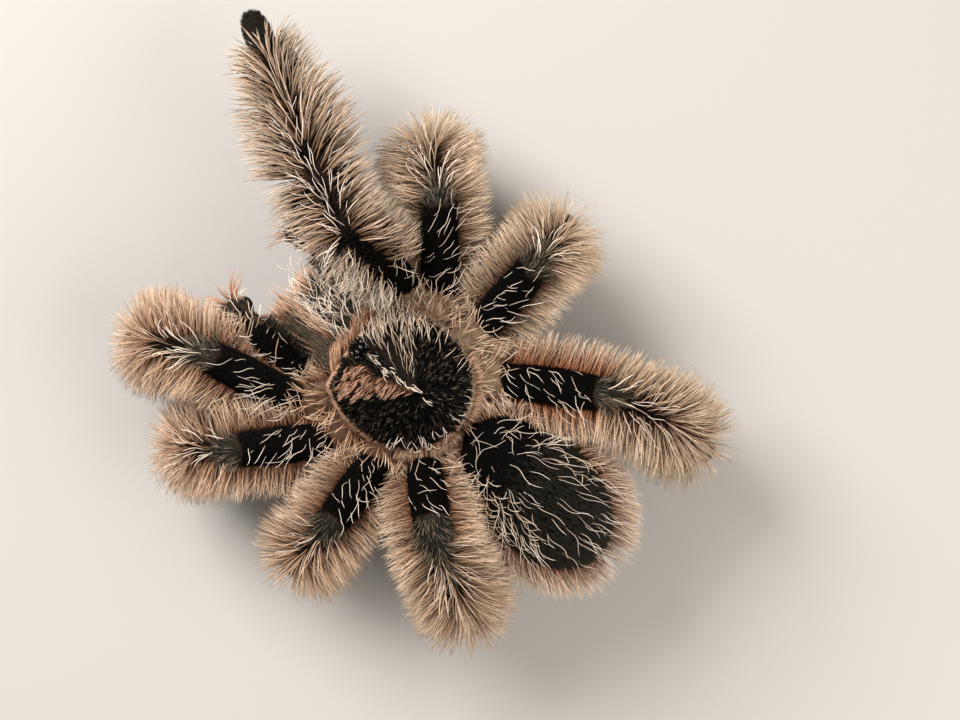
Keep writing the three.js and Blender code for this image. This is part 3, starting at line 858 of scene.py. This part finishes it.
# %% The bottle brush beyond the knee
def long_hair_weight(part_name, raised):
    """Where the long hair of a part grows, 0 to 1."""
    if part_name == "tarsus":
        return ramp(0.22, 0.0, along) if raised else ramp(0.9, 0.1, along)
    if not raised:
        over_top = ramp(0.85, 0.5, up) + 0.4 * along
        over_top = np.where(velvet, ramp(0.3, 0.1, up), over_top)
        return over_top if part_name == "patella" else 1.0
    parting = PARTING[part_name] + 0.035 * along * (part_name == "tibia") + 0.02 * ragged
    if part_name == "patella":      # wider before the shin
        parting = parting - 0.10 * ramp(0.3, 0.8, along)
    if part_name == "tibia":
        parting = parting - 0.12 * ramp(0.2, 0.0, along)
    return ramp(parting + 0.06, parting - 0.03, up) * ~velvet


def long_hair(name, size, warmth):
    """Long pale hair on every part from the knee on, and on the raised leg's thigh too."""
    piece = f"coat_{name}"
    raised, small = name == RAISED_LEG, name.startswith("palp")
    for part_name, (near, far, root_sweep, tip_sweep) in (RAISED if raised else STANDING).items():
        if part_name not in LIMB_PARTS[name] or (small and part_name == "patella"):
            continue
        foot = part_name == "tarsus"
        here = (limb_of == name) & on(part_name)
        if small:   # bare on the inner side
            here = here & (side * np.sign(x) > -0.4)
        if raised:  # its front side is thinner than its rear side, above all on the thigh
            here = here * np.where(side * x > 0, 1.2, 0.3 if part_name == "femur" else 1.0)
        here = here * long_hair_weight(part_name, raised)
        density = DENSITY[part_name] * (0.54 if raised else 0.7 if small else 1.0)
        length = (1.25 if small else 1.0) * size * (near + (far - near) * along)
        start, end = comb(0.55, 0.8, root_sweep), comb(0.25, 0.75, tip_sweep)
        cover(piece, here, start, end, density, length, radius=0.07 if foot else 0.115 if raised else 0.09,
              bends=3 if foot else 5, wave=0.18, jitter=0.13, tuft=5, clump=0.5 if raised else 0.32,
              pales=(0.35, 1.0) if raised else (0.6, 1.0), tones=(0.2, 1.2) if raised else (0.0, 1.0),
              warm=warmth, warm_root=0.1)
        if raised:  # shorter black hair between the pale
            cover(piece, here, start, end, 0.3 * density, 0.68 * length,
                  radius=0.12, bends=3, jitter=0.13, pale=0.0)


# %% The thigh
def thigh(name, size, warmth):
    """Black velvet, a fringe on both sides and white curls over the top."""
    piece, here = f"coat_{name}", (limb_of == name) & femur
    small, raised = name.startswith("palp"), name == RAISED_LEG
    black = (limb_of == name) & velvet
    pile(piece, black & (up > 0.05), density=9.0, length=0.7, pale=0.0)
    ahead = side * np.sign(x) < 0       # the side of the thigh that looks to the front
    fringe = here * ramp(0.25, 0.05, up)
    if small:                           # nothing on the palp's inner side
        fringe = fringe * ~ahead * 0.3
    if name == "leg1_left":
        fringe = fringe * np.where(ahead, 0.4, 1.0)
    if raised:
        fringe = fringe * velvet * np.where(ahead, 0.35, 1.1)
    loose = 0.35 if raised else 0.2
    cover(piece, fringe, comb(0.5, 0.9, 0.15, 0.30), comb(0.2, 0.9, 0.40, 0.05), density=4.4,
          length=6.6 * size, radius=0.088, wave=loose, hook=loose - 0.1, jitter=loose, tuft=4, clump=0.35,
          pales=(0.6, 1.0), warm=warmth, warm_root=RUSTY[name])
    if raised:                          # white arcs over black in front
        cover(piece, here * ahead * ramp(0.95, 0.8, up), comb(0.8, 0.6, 0.3), comb(0.1, 0.7, -0.5),
              density=1.4, length=5.5, radius=0.09, bends=8, wave=0.2, hook=0.6, jitter=0.3, **WHITE)
    if small:                           # short dusky hair on the palp's inner side
        cover(piece, here * ahead * ramp(0.5, 0.0, up), comb(0.5, 0.9, 0.3), comb(0.2, 0.9, 0.6),
              density=7.0, length=2.4, bends=2, pale=0.12, warm=0.2, dusk=0.6)
    # curls: they rise on the front side, most of them near the hip, and lean over to the knee
    over = outward * np.sign(side)[:, None] * np.where(left, 1.0, -1.0)[:, None]
    curly = black * ramp(0.05, 0.3, up) * np.where(ahead | (up > 0.7), 1.3 - 0.8 * along, 0.3)
    cover(piece, curly, (0, 0, 0.6) + 0.2 * flow + 0.3 * over, 0.5 * over + 0.9 * flow + (0, 0, -0.25),
          density=0.26 if small else 0.21, length=(3.2 * size, 6.5 * size),
          radius=0.06, bends=8, wave=0.2, hook=0.32, jitter=0.35, **WHITE)


# %% The knee, the foot and the hip
def knee_and_foot(name, size):
    """Close fur under the long hair: dusky on the knee, with paler streaks, and black beyond it."""
    piece, own, raised = f"coat_{name}", limb_of == name, name == RAISED_LEG
    pile(piece, own * shin * (1 - knee), density=5.0, length=1.4 * size, pale=0.02, warm=0.3)
    if not raised:
        pile(piece, own * knee, density=12.0, length=0.9 * size, pale=0.18, dusk=1.0)
        cover(piece, own * knee, comb(0.5, 0.4, 0.8), comb(0.1, 0.6, 1.0), density=3.4, length=2.4 * size,
              radius=0.06, bends=3, wave=0.4, jitter=0.2, pales=(0.0, 0.7), dusk=0.5)
    # arched white strands over the knee
    arched = own * on("patella", "tibia") * ramp(0.3, 0.8, up) * ramp(1.0, 0.9, along)
    cover(piece, arched, comb(0.9, 0.5, 0.5), comb(0.0, 0.8, 0.6), density=0.5 if raised else 0.3,
          length=5.0 * size, bends=7, wave=0.12, hook=0.4, jitter=0.3, **WHITE)
    pile(piece, own & on("tarsus"), density=16.0, length=0.85 * size, pale=0.06, warm=0.1, dusk=0.6)


def hip(name, size, warmth):
    """Felt, and longer hair that fills the space between the thighs."""
    piece, here, hand_left = f"coat_{name}", (limb_of == name) & on("coxa"), "left" in name
    # The extra warmth on the left hips is painted warm light on that side.
    pile(piece, here & (up > -0.2), density=22.0, length=0.5, pales=(0.5, 1.0),
         pale=0.38 if hand_left else 0.8, warm=warmth + (0.25 if hand_left else 0.0))
    filling = here * (0.25 + 0.75 * ramp(0.7, 0.2, np.abs(up))) * ramp(0.35, 0.65, along)
    cover(piece, filling, comb(0.7, 0.8, 0.5, 0.2), comb(0.3, 0.8, 1.0), density=4.0, length=4.4 * size,
          wave=0.2, jitter=0.25, warm=warmth, warm_root=0.3)


for name in LIMB_PARTS:
    size = PALP_SIZE if name.startswith("palp") else 1.0
    long_hair(name, size, WARMTH_AND_PAINTED_LIGHT[name])
    thigh(name, size, WARMTH_AND_PAINTED_LIGHT[name])
    knee_and_foot(name, size)
    hip(name, size, WARMTH_AND_PAINTED_LIGHT[name])
print("layers on the limbs:", {piece: len(layers) for piece, layers in coats.items()})

# %% [markdown]
# ## The body's coat
#
# The carapace is combed out from its pit. The hair is short and black, with grey-green flecks behind,
# a rusty wedge whose glow is partly a painted sheen of warm light on the head's left slope, a field of
# straw on the right and a row of white strands down the middle. A dense bright brush stands on its
# front edge. Over the abdomen's velvet lie sparse long white strands. Each kind of hair is one layer,
# grown where its mask says, so a colour ends where its hair ends.

# %% The carapace's fur, with flecks, the wedge of rust and painted sheen, and the straw in it
piece = "coat_carapace"
radial = unit(np.stack([x, y - PIT_Y, 0 * x], 1))       # away from the pit
short = ramp(0.0, 1.6, inset)      # the fur is shortest at the rim
raked = radial + 0.6 * skin_normals
cover(piece, plate, raked, raked, density=12.0, length=0.3 + 0.5 * short, bends=1, pale=0.0, warm=0.1)
roots = pick(plate * np.clip(1 - rust_and_sheen_wedge - straw, 0, 1), density=4.4)
fleck = rng.choice([0.03, 0.06, 0.15, 0.6], len(roots)) * np.where(left[roots], 0.45, 1.0)
grow(piece, roots, raked[roots], (radial + 0.1 * skin_normals)[roots], 0.4 + 1.0 * short[roots],
     radius=0.06, bends=3, wave=0.7, jitter=0.4, pale=fleck, warm=0.1, dusk=np.where(left[roots], 0.4, 0.7))
TO_THE_SIDE = (0.98, -0.13, 0.05)
# Rust-coloured hair in the wedge, its glow partly a painted sheen of warm light.
cover(piece, rust_and_sheen_wedge, skin_normals + TO_THE_SIDE, TO_THE_SIDE, density=6.0, length=1.9,
      radius=0.065, wave=0.55, tuft=4, clump=0.5, pales=(0.4, 1.0), warm=0.75)
cover(piece, straw * ramp(1.0, 2.5, inset), radial + 0.5 * skin_normals - 0.3 * VIEW_RIGHT,
      VIEW_UP + 0.1 * skin_normals, density=0.92, length=4.2, radius=0.075, bends=6, wave=0.35,
      jitter=0.18, tuft=3, clump=0.4, tones=(0.6, 2.0), pales=(0.5, 1.0), light_root=0.15)
print("flecks:", len(roots))

# %% The carapace's rim
rim_right = plate * ramp(1.8, 0.6, inset) * ramp(-8, -20, bearing)
rim_right = rim_right * np.maximum(ramp(-75, -58, bearing), 0.18 * ramp(-135, -115, bearing))
cover(piece, rim_right, (0, 0, 0.9) + 0.2 * radial, 0.12 * skin_normals - radial - 0.3 * VIEW_UP,
      density=1.55, length=5.4, radius=0.08, bends=7, wave=0.15, hook=0.3, jitter=0.18, tones=(0.6, 1.2))
# A short fringe on the rim, warmer on the left: partly its own colour, partly painted warm light on that
# side.
edge = on("carapace") * ramp(0.9, 0.3, inset) * ramp(-0.9, -0.3, up)
cover(piece, edge, radial + (0, 0, 0.1), radial + (0, 0, -0.1), density=14.0, length=0.7,
      bends=1, pale=0.9, warm=np.where(left, 0.6, 0.1))
skirt = on("carapace") * ramp(1.0, 0.3, inset) * (y > 5) * (up < 0.3)
cover(piece, skirt, radial + (0, 0, 0.3), radial + (0, 0, -0.3), density=20.0, length=2.4,
      bends=2, pale=0.9, warm=0.35)
rim_behind = plate * ramp(1.6, 0.4, inset) * (y > 2) * (x > -6)
cover(piece, rim_behind, (0, 0, 1.0) + 0.3 * radial, 0.2 * skin_normals - radial, density=0.42, length=4.2,
      radius=0.08, bends=6, wave=0.15, hook=0.3, jitter=0.2, **WHITE)
middle_row = on("carapace") * ramp(0.6, 0.2, np.abs(x)) * (y > -8.5) * (y < PIT_Y + 1.5)
cover(piece, middle_row, (0.0, 0.9, 0.4), (0.0, 1.0, 0.0), density=3.0, length=2.4,
      radius=0.08, bends=7, wave=0.45, hook=0.6, jitter=0.25, **WHITE)
print("vertices on the rim:", int((edge > 0.5).sum()))

# %% The bright brush on the front edge
front_edge = front - carapace_middle[1]
brow = on("carapace", "chelicera") & (y < front_edge + 0.4) & (y > front_edge - 1.0)
brow = brow * ramp(8.2, 6.8, x) * ramp(-7.0, -4.5, x) * (z > rim - 1.5) * (z < rim + 2.4)
cover(piece, brow, (-0.45, -1.0, 0.35), (-1.0, -0.45, 0.0), density=44.0, length=(2.2, 3.5),
      radius=0.085, bends=3, wave=0.05, jitter=0.07, tones=(0.0, 0.5), pales=(0.15, 1.0),
      warm=0.6, warm_root=0.3)
print("brush hairs:", len(coats[piece][-1]["unwrap"]))

# %% The chelicerae: bare in the middle of their left half, with golden and white strands
piece = "coat_chelicerae"
forward = np.array([0.0, -1.0, 0.0])
snout = on("chelicera")
bare = snout * ramp(0.7, 1.3, x + 0.3 * ragged) * ramp(-0.5, -0.2, up)
pile(piece, snout * (1 - bare), density=12.0, length=0.7, pale=0.04, warm=0.1, dusk=0.5)
# Paler short hairs on the bare patch: partly its own grey-brown streaks, partly painted sheen on the smooth
# cuticle.
cover(piece, bare, forward + 0.3 * skin_normals, forward + 0.05 * skin_normals, density=9.0, length=1.5,
      radius=0.055, bends=2, pales=(0.1, 0.8), pale=0.6, warm=0.4, dusk=0.5)
cover(piece, snout * ramp(1.3, 2.0, x) * ramp(0.1, -0.4, up), skin_normals + forward,
      forward + (0.3, 0, -0.2), density=6.0, length=2.6, bends=2, pale=0.10, warm=0.2, dusk=0.6)
cover(piece, snout * ramp(-0.3, 0.2, up) * ~left, skin_normals * 0.8 + forward * 0.4,
      forward + (-0.6, 0, -0.1), density=0.75, length=6.0,
      radius=0.095, bends=7, wave=0.2, hook=0.7, jitter=0.35, **WHITE)
golden = snout * left * np.maximum(ramp(2.4, 0.7, x), 0.06)
cover(piece, golden * ramp(-13.0, -15.0, y) * ramp(-0.4, 0.1, up),
      skin_normals * 0.4 + forward, forward + (0.08, 0, -0.2), density=3.4, length=(3.5, 7.0),
      wave=0.15, jitter=0.14, tuft=4, clump=0.3, pales=(0.6, 1.0), warm=0.3, warm_root=0.3)
cover(piece, snout * ramp(-21.0, -23.0, y), skin_normals * 0.8 + forward, forward + (0, 0, -0.6),
      density=5.0, length=3.0, bends=3, wave=0.2, pale=0.95, warm=0.45)
cover(piece, snout * ramp(0.0, -0.4, up), skin_normals + 0.4 * forward, (0, -0.3, -1.0),
      density=5.0, length=2.2, radius=0.08, bends=3, wave=0.2, pale=0.75, warm=0.75)
print("layers on the chelicerae:", len(coats[piece]))

# %% The abdomen's velvet and the white strands over it
piece = "coat_abdomen"
backward = np.array([0.0, 1.0, 0.0])
AWAY_FROM = 0.22  # of its length: the strands spread from this place on its middle line
fan_out = unit(np.stack([abdomen_x, abdomen_y - AWAY_FROM * (abdomen_back - abdomen_front), 0 * x], 1))
top_field = on("abdomen") * np.clip(1 - belt, 0, 1) * ramp(0, 0.2, up)
pile(piece, top_field * ramp(14, 6, abdomen_y), density=12.0, length=1.2, pale=0.0)
pile(piece, top_field * ramp(6, 14, abdomen_y), density=12.0, length=1.2, pale=0.13, dusk=0.9)
roots = pick(top_field, density=0.18)
near = ramp(12, 5, abdomen_y[roots])[:, None]   # curlier and less even in front
wild = near * rng.normal(0, 0.7, (len(roots), 3)) * (1, 1, 0.2)
grow(piece, roots, (1 - 0.6 * near) * fan_out[roots] + 0.6 * skin_normals[roots] + 0.6 * backward + wild,
     (1 - 0.6 * near) * fan_out[roots] + 0.05 * skin_normals[roots] + 0.8 * backward + wild,
     spread(4.2, 7.8, len(roots)), radius=0.05, bends=9, wave=0.36, hook=0.5, jitter=0.2, **WHITE)
print("white strands:", len(roots))

# %% The abdomen's flanks and waist
flank = on("abdomen") * ramp(3, 7, abdomen_y) * ramp(0.42, 0.26, up + 0.05 * ragged)
lie = unit(np.stack([abdomen_x, 0.9 * (abdomen_y - 15) + 4, 0 * x], 1))
cover(piece, flank * ramp(-0.6, -0.1, up), lie + 0.6 * skin_normals + (0, 0.2, 0.1),
      lie + (0, 0.5, -0.1), density=6.2, length=4.6 + 1.6 * ramp(12, 26, abdomen_y),
      wave=0.18, jitter=0.18, tuft=5, clump=0.4, tones=(0.5, 1.3), pales=(0.6, 1.0),
      warm=0.14, warm_root=0.35)
waist_side = on("pedicel") + on("abdomen") * ramp(4, 2, abdomen_y) * ramp(0.6, 0.3, up)
ahead = skin_normals - 0.4 * backward
cover(piece, waist_side, ahead, ahead + (0, 0, 0.2), density=3.0, length=3.4,
      bends=4, wave=0.2, jitter=0.3, pale=0.8, warm=0.5)
crossing = on("abdomen") * ramp(0.2, 0.5, np.abs(side)) * ramp(0.1, 0.3, up)
crossing = crossing * ramp(3, 8, abdomen_y) * ramp(22, 14, abdomen_y)
cover(piece, crossing * np.where(side > 0, 1.0, 0.3), skin_normals + 0.5 * backward,
      0.9 * backward - 0.6 * fan_out + (0, 0, 0.2), density=0.28, length=5.0,
      radius=0.085, bends=7, wave=0.12, hook=0.4, jitter=0.25, tones=(0.6, 1.2), warm=0.05)
print("layers on the abdomen:", len(coats[piece]))

# %% The underside
piece = "coat_underside"
cover(piece, on("abdomen") * ramp(0.0, -0.3, up), backward + 0.7 * skin_normals,
      backward + 0.2 * skin_normals, density=3.6, length=3.0, bends=3, wave=0.2, pale=0.6, warm=0.3)
pile(piece, on("sternum", "pedicel", "spinneret"), density=9.0, length=1.1, pale=0.25, warm=0.3)
print("layers underneath:", len(coats[piece]))

# %% [markdown]
# ## From layers to pieces
#
# A coat needs a UV map, so that its colours can be baked. Unwrapping a hundred thousand hairs would
# take minutes. Instead each hair gets its own small patch of the piece's UV square, laid out in the
# order of the roots on the skin: columns by the place along the part, and within a column by the place
# around it.


# %% Make the coat pieces
PATCH = 0.003    # the side of a hair's patch, of the square's
MARGIN = 0.25    # where a patch starts in its cell, of the cell's side


def patches(places):
    """A patch's lower corner for each hair: columns by the first coordinate, rows by the second."""
    number = len(places)
    columns = int(math.ceil(math.sqrt(number)))
    ranked = np.argsort(places[:, 0], kind="stable")
    corner = np.zeros((number, 2))
    for column in range(columns):
        chosen = ranked[column * columns:(column + 1) * columns]
        chosen = chosen[np.argsort(places[chosen, 1], kind="stable")]
        corner[chosen, 0] = column
        corner[chosen, 1] = np.arange(len(chosen))
    return (corner + MARGIN) / columns


def give(thing, name, values):
    """Stores one number for each vertex, for the materials to read."""
    attribute = thing.data.attributes.new(name, "FLOAT", "POINT")
    attribute.data.foreach_set("value", values.astype(np.float32))


coat_pieces = []
for piece, layers in coats.items():
    points, triangles = joined([(layer["points"], layer["triangles"]) for layer in layers])
    made = make_object(piece, points, triangles)
    for name in ("along", "tone", "pale", "warm", "dusk"):
        give(made, name, np.concatenate([layer[name] for layer in layers]))
    corner = patches(np.concatenate([layer["unwrap"] for layer in layers]))
    sizes = np.concatenate([np.full(len(layer["unwrap"]), layer["per_hair"]) for layer in layers])
    corner = np.repeat(corner, sizes, axis=0)
    inside = np.stack([np.concatenate([layer["round"] for layer in layers]),
                       np.concatenate([layer["along"] for layer in layers])], 1)
    uv = (corner + inside * PATCH)[triangles.ravel()]
    made.data.uv_layers.new(name="OFBake").data.foreach_set("uv", uv.astype(np.float32).ravel())
    coat_pieces.append(made)
    print(piece, len(triangles))
print("coat triangles:", sum(len(made.data.polygons) for made in coat_pieces))

# %% The skin's markings
for name, values in (("pale", skin_pale), ("warm", skin_warm), ("dusk", skin_dusk)):
    give(skin, name, values)
print("on the skin:", [attribute.name for attribute in skin.data.attributes])

# %% [markdown]
# ## Materials as expressions
#
# A shader is a graph of nodes, but its sums read better as sums. The class below wraps a socket, so
# that `dark * 0.5 + 0.1` adds two Math nodes, and its `node` adds any other kind of node.


# %% A socket that can be calculated with
class Value:
    """A socket of a shader, with Python's operators."""

    def __init__(self, tree, socket):
        self.tree, self.socket = tree, socket

    @classmethod
    def node(cls, tree, kind, output=0, settings=None, **inputs):
        """Adds a node: its settings first, then its sockets' values or links. Returns one output.

        A socket is named, or numbered as _0, _1 and so on.
        """
        made = tree.nodes.new(kind)
        for name, value in (settings or {}).items():
            setattr(made, name, value)
        for name, value in inputs.items():
            key = int(name[1:]) if name[0] == "_" else name.replace("_", " ")
            if isinstance(value, cls):
                tree.links.new(value.socket, made.inputs[key])
            else:
                made.inputs[key].default_value = value
        return cls(tree, made.outputs[output])

    def number(self, operation, first, second):
        """A Math node on two values or numbers."""
        return self.node(self.tree, "ShaderNodeMath", 0, {"operation": operation}, _0=first, _1=second)

    def __add__(self, other):
        return self.number("ADD", self, other)

    def __sub__(self, other):
        return self.number("SUBTRACT", self, other)

    def __rsub__(self, other):
        return self.number("SUBTRACT", other, self)

    def __mul__(self, other):
        return self.number("MULTIPLY", self, other)

    def __pow__(self, other):
        return self.number("POWER", self, other)

    __radd__, __rmul__ = __add__, __mul__

    def between(self, low, high):
        """A colour between two colours, where this value is the share of the second.

        The sockets for colours are number 6 and 7 of a Mix node.
        """
        return self.node(self.tree, "ShaderNodeMix", 2, {"data_type": "RGBA"}, _0=self, _6=low, _7=high)

    def feed(self, shader, name):
        """Links this value to one of the main shader's sockets."""
        self.tree.links.new(self.socket, shader.inputs[name])


def finish(name, **fixed):
    """A new material with its tree and its main shader, after setting the sockets that don't vary."""
    material = bpy.data.materials.new(name)
    material.use_nodes = True
    shader = material.node_tree.nodes["Principled BSDF"]
    for key, value in fixed.items():
        shader.inputs[key.replace("_", " ")].default_value = value
    return material, material.node_tree, shader


def marking(tree, name):
    """One of the mesh's own numbers."""
    return Value.node(tree, "ShaderNodeAttribute", 2, {"attribute_name": name})


# %% [markdown]
# ## The colours
#
# A hair is dark at its root and pale at its tip: the dark root is partly the hair's own colour and
# partly painted shade deep in the coat, where the hairs crowd. No two hairs have quite the same tone.
# A hair shader is meant for hair curves, so these strands use the plain one, with little shine. The
# skin below uses the same black, tan and rust, only darker, with a fine grain for its velvet.

# %% Coat and skin
BLACK = (0.0014, 0.0013, 0.0010, 1)
# The roots' darkness is partly the hair's own colour and partly painted shade deep in the coat.
BROWN_ROOT_AND_SHADE = (0.060, 0.021, 0.009, 1)
RUSTY_ROOT_AND_SHADE = (0.30, 0.090, 0.030, 1)
STRAW = (0.82, 0.60, 0.39, 1)
RUST = (0.78, 0.34, 0.18, 1)
CREAM = (0.97, 0.84, 0.72, 1)
DUSK = (0.105, 0.107, 0.082, 1)
TAN_SKIN = (0.30, 0.21, 0.135, 1)
RUSTY_SKIN = (0.46, 0.20, 0.10, 1)

hair_material, tree, shader = finish("hair", Roughness=0.5, Specular_IOR_Level=0.06)
tone, root_to_tip, warmth = marking(tree, "tone"), marking(tree, "along"), marking(tree, "warm")
tip_colour = (tone * 0.7 * root_to_tip).between(warmth.between(STRAW, RUST), CREAM)
# Dark towards the root: partly the hair's own colour, partly painted shade among the crowded hairs.
hue = (root_to_tip ** 0.7).between(warmth.between(BROWN_ROOT_AND_SHADE, RUSTY_ROOT_AND_SHADE), tip_colour)
hue = marking(tree, "dusk").between(hue, DUSK)
marking(tree, "pale").between(BLACK, hue).feed(shader, "Base Color")

skin_material, tree, shader = finish("skin", Roughness=0.65, Specular_IOR_Level=0.03)
grain = Value.node(tree, "ShaderNodeTexNoise", Scale=2600.0, Detail=3.0)
hue = marking(tree, "warm").between(TAN_SKIN, RUSTY_SKIN)
hue = marking(tree, "dusk").between(hue, DUSK)
share = marking(tree, "pale") * (0.55 + 0.6 * grain)
share.between(BLACK, hue).feed(shader, "Base Color")
Value.node(tree, "ShaderNodeBump", Strength=0.6, Distance=0.0002, Height=grain).feed(shader, "Normal")

gloss_material, _, _ = finish("eye_gloss", Base_Color=(0.004, 0.004, 0.005, 1), Roughness=0.04,
                              Coat_Weight=1.0, Coat_Roughness=0.03)
claw_material, _, _ = finish("claw", Base_Color=(0.010, 0.008, 0.008, 1), Roughness=0.22)

skin.data.materials.append(skin_material)
for piece in coat_pieces:
    piece.data.materials.append(hair_material)
print("materials:", [m.name for m in bpy.data.materials])

# %% [markdown]
# ## Eyes, fangs and claws
#
# These stay bare and hard, so they are pieces of their own. A tarantula has eight small eyes on a
# mound. Its fangs fold back under the chelicerae, and each foot ends in two tiny claws. The eyes are
# balls sunk in the skin, and fangs and claws are one kind of horn: rings that shrink along a curve.


# %% Eyes
EYES = (  # place beside and behind the mound's middle, and radius
    (0.45, -0.05, 0.36), (1.15, -0.55, 0.33), (1.30, 0.35, 0.27), (0.95, 0.55, 0.20))


def ball(centre, radius, rows=9, sides=14):
    """Points and triangles of a ball."""
    turn = np.linspace(0, math.pi, rows + 2)[1:-1]
    angle = np.linspace(0, 2 * math.pi, sides, endpoint=False)
    rings = np.stack([np.outer(np.sin(turn), np.cos(angle)), np.outer(np.sin(turn), np.sin(angle)),
                      np.outer(np.cos(turn), np.ones(sides))], 2)
    points, triangles = loft(rings * radius)
    return points + centre, triangles


def skin_top(px, py):
    """Height of the skin's upper side at a place. Of equally near vertices the higher ones count."""
    beside = np.hypot(skin_points[:, 0] - px, skin_points[:, 1] - py)
    near = np.argsort(beside - 0.001 * skin_points[:, 2])[:12]
    return skin_points[near, 2].max()


eye_parts = []
for dx, dy, size in EYES:
    for hand in (-1, 1):
        place = np.array([mound_middle[0] + hand * dx, mound_middle[1] + dy, 0.0])
        place[2] = skin_top(place[0], place[1]) - 0.05 + 0.12 * (size < 0.3)
        eye_parts.append(ball(place, size))
eyes = make_object("eyes", *joined(eye_parts))
eyes.data.materials.append(gloss_material)
print("eyes:", len(eye_parts))


# %% Fangs and claws
BLUNT = 0.06          # a horn's tip, of its radius
INTO_THE_FLESH = 1.9  # how far a fang's root goes up into its chelicera


def horn(path, radius, rows=15, sides=14):
    """A tapering horn along a curved path from a start to a tip, drawn towards a bend."""
    t = np.linspace(0, 1, rows)
    first, second, third = np.array(path)
    line = ((1 - t) ** 2)[:, None] * first + (2 * t * (1 - t))[:, None] * second + (t ** 2)[:, None] * third
    heading = unit(np.gradient(line, axis=0))
    across = unit(np.cross(heading, np.cross(third - first, second - first) + 1e-6))
    upward = np.cross(heading, across)
    angle = np.linspace(0, 2 * math.pi, sides, endpoint=False)
    thick = radius * np.maximum((1 - t) ** 0.7, BLUNT)
    rings = line[:, None] + thick[:, None, None] * (
        np.cos(angle)[None, :, None] * across[:, None] + np.sin(angle)[None, :, None] * upward[:, None])
    return loft(rings)


for hand in HANDS:
    low, high = box_mm(f"fang_{hand}")
    middle = (low + high) / 2
    start = np.array([middle[0], low[1] + 1.0, high[2] + INTO_THE_FLESH])
    bend = np.array([middle[0], low[1] + 0.6, low[2] + 0.2])
    tip = np.array([middle[0], high[1] - 0.2, low[2] + 0.3])
    fang = make_object(f"fang_shell_{hand}", *horn((start, bend, tip), 1.1))
    fang.data.materials.append(claw_material)
    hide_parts(f"fang_{hand}")
    print("fang:", low.round(1), high.round(1))

claw_parts = []
for limb, path in joints.items():
    axis = unit(path[-1] - path[-2])
    across = unit(np.cross(axis, (0, 0, 1)))
    rise = np.cross(across, axis)
    for hand in (-1, 1):
        root = path[-1] + 0.7 * axis + hand * 0.35 * across
        claw_parts.append(horn((root, root + 0.9 * axis + 0.45 * rise, root + 1.1 * axis - 0.3 * rise),
                               0.17, rows=7, sides=6))
claws = make_object("claws", *joined(claw_parts))
claws.data.materials.append(claw_material)
print("claws:", len(claw_parts), "lowest:", round(min(part[0][:, 2].min() for part in claw_parts), 2))

# %% [markdown]
# ## Standing for the solids
#
# The skin is one piece, though the solids are many, because a bend in a living leg shows no seam. So it
# stands for every node but the fangs.

# %% Hide the nodes that the skin stands for
fangs = {f"fang_{hand}" for hand in HANDS}
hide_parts(*[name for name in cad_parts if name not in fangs])
print("replaced by the skin:", len(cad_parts) - len(fangs), "nodes")

# %% [markdown]
# ## Ground and light
#
# Black velvet shows its form only in large soft lights, and curls only against a shadow. So one wide
# window stands on one side, a weaker fill on the other, and a dim room lights the rest.

# %% A plain floor under a soft window
FLOOR_REACH, FLOOR_DROP = 1500.0, 0.2
floor_mesh = bpy.data.meshes.new("floor")
reach = FLOOR_REACH * MM
corners = [(-reach, -reach, 0), (reach, -reach, 0), (reach, reach, 0), (-reach, reach, 0)]
floor_mesh.from_pydata(corners, [], [(0, 1, 2, 3)])
floor = put_in_scene("floor", floor_mesh)
floor.location.z = -FLOOR_DROP * MM
floor_material, _, _ = finish("floor", Roughness=0.9, Base_Color=(0.43, 0.41, 0.39, 1))
floor_mesh.materials.append(floor_material)

world = bpy.data.worlds.new("room")
bpy.context.scene.world = world
world.use_nodes = True
room = world.node_tree.nodes["Background"].inputs
room["Color"].default_value, room["Strength"].default_value = (1.0, 0.97, 0.93, 1), 0.42


def window(name, rightward, upward, height, size, energy, colour):
    """A square soft light, placed to the right and up in the view, aimed at the carapace.

    Its place is in millimetres and its size in metres.
    """
    light = bpy.data.lights.new(name, "AREA")
    light.size, light.energy, light.color = size, energy, colour
    made = put_in_scene(name, light)
    place = carapace_middle + rightward * VIEW_RIGHT + upward * VIEW_UP + (0, 0, height)
    made.location = place * MM
    aim = (carapace_middle - place) * MM
    made.rotation_euler = mathutils.Vector(aim).to_track_quat("-Z", "Y").to_euler()
    print(name, "light at", place.round(0))


window("window", -260, 260, 330, 0.30, 4.5, (1.0, 0.98, 0.95))
window("fill", 280, -120, 260, 0.35, 1.6, (1.0, 0.95, 0.88))

# %% How light becomes colour
view = bpy.context.scene.view_settings
view.view_transform, view.look, view.exposure = "Standard", "None", 0.0
print("view:", view.view_transform)
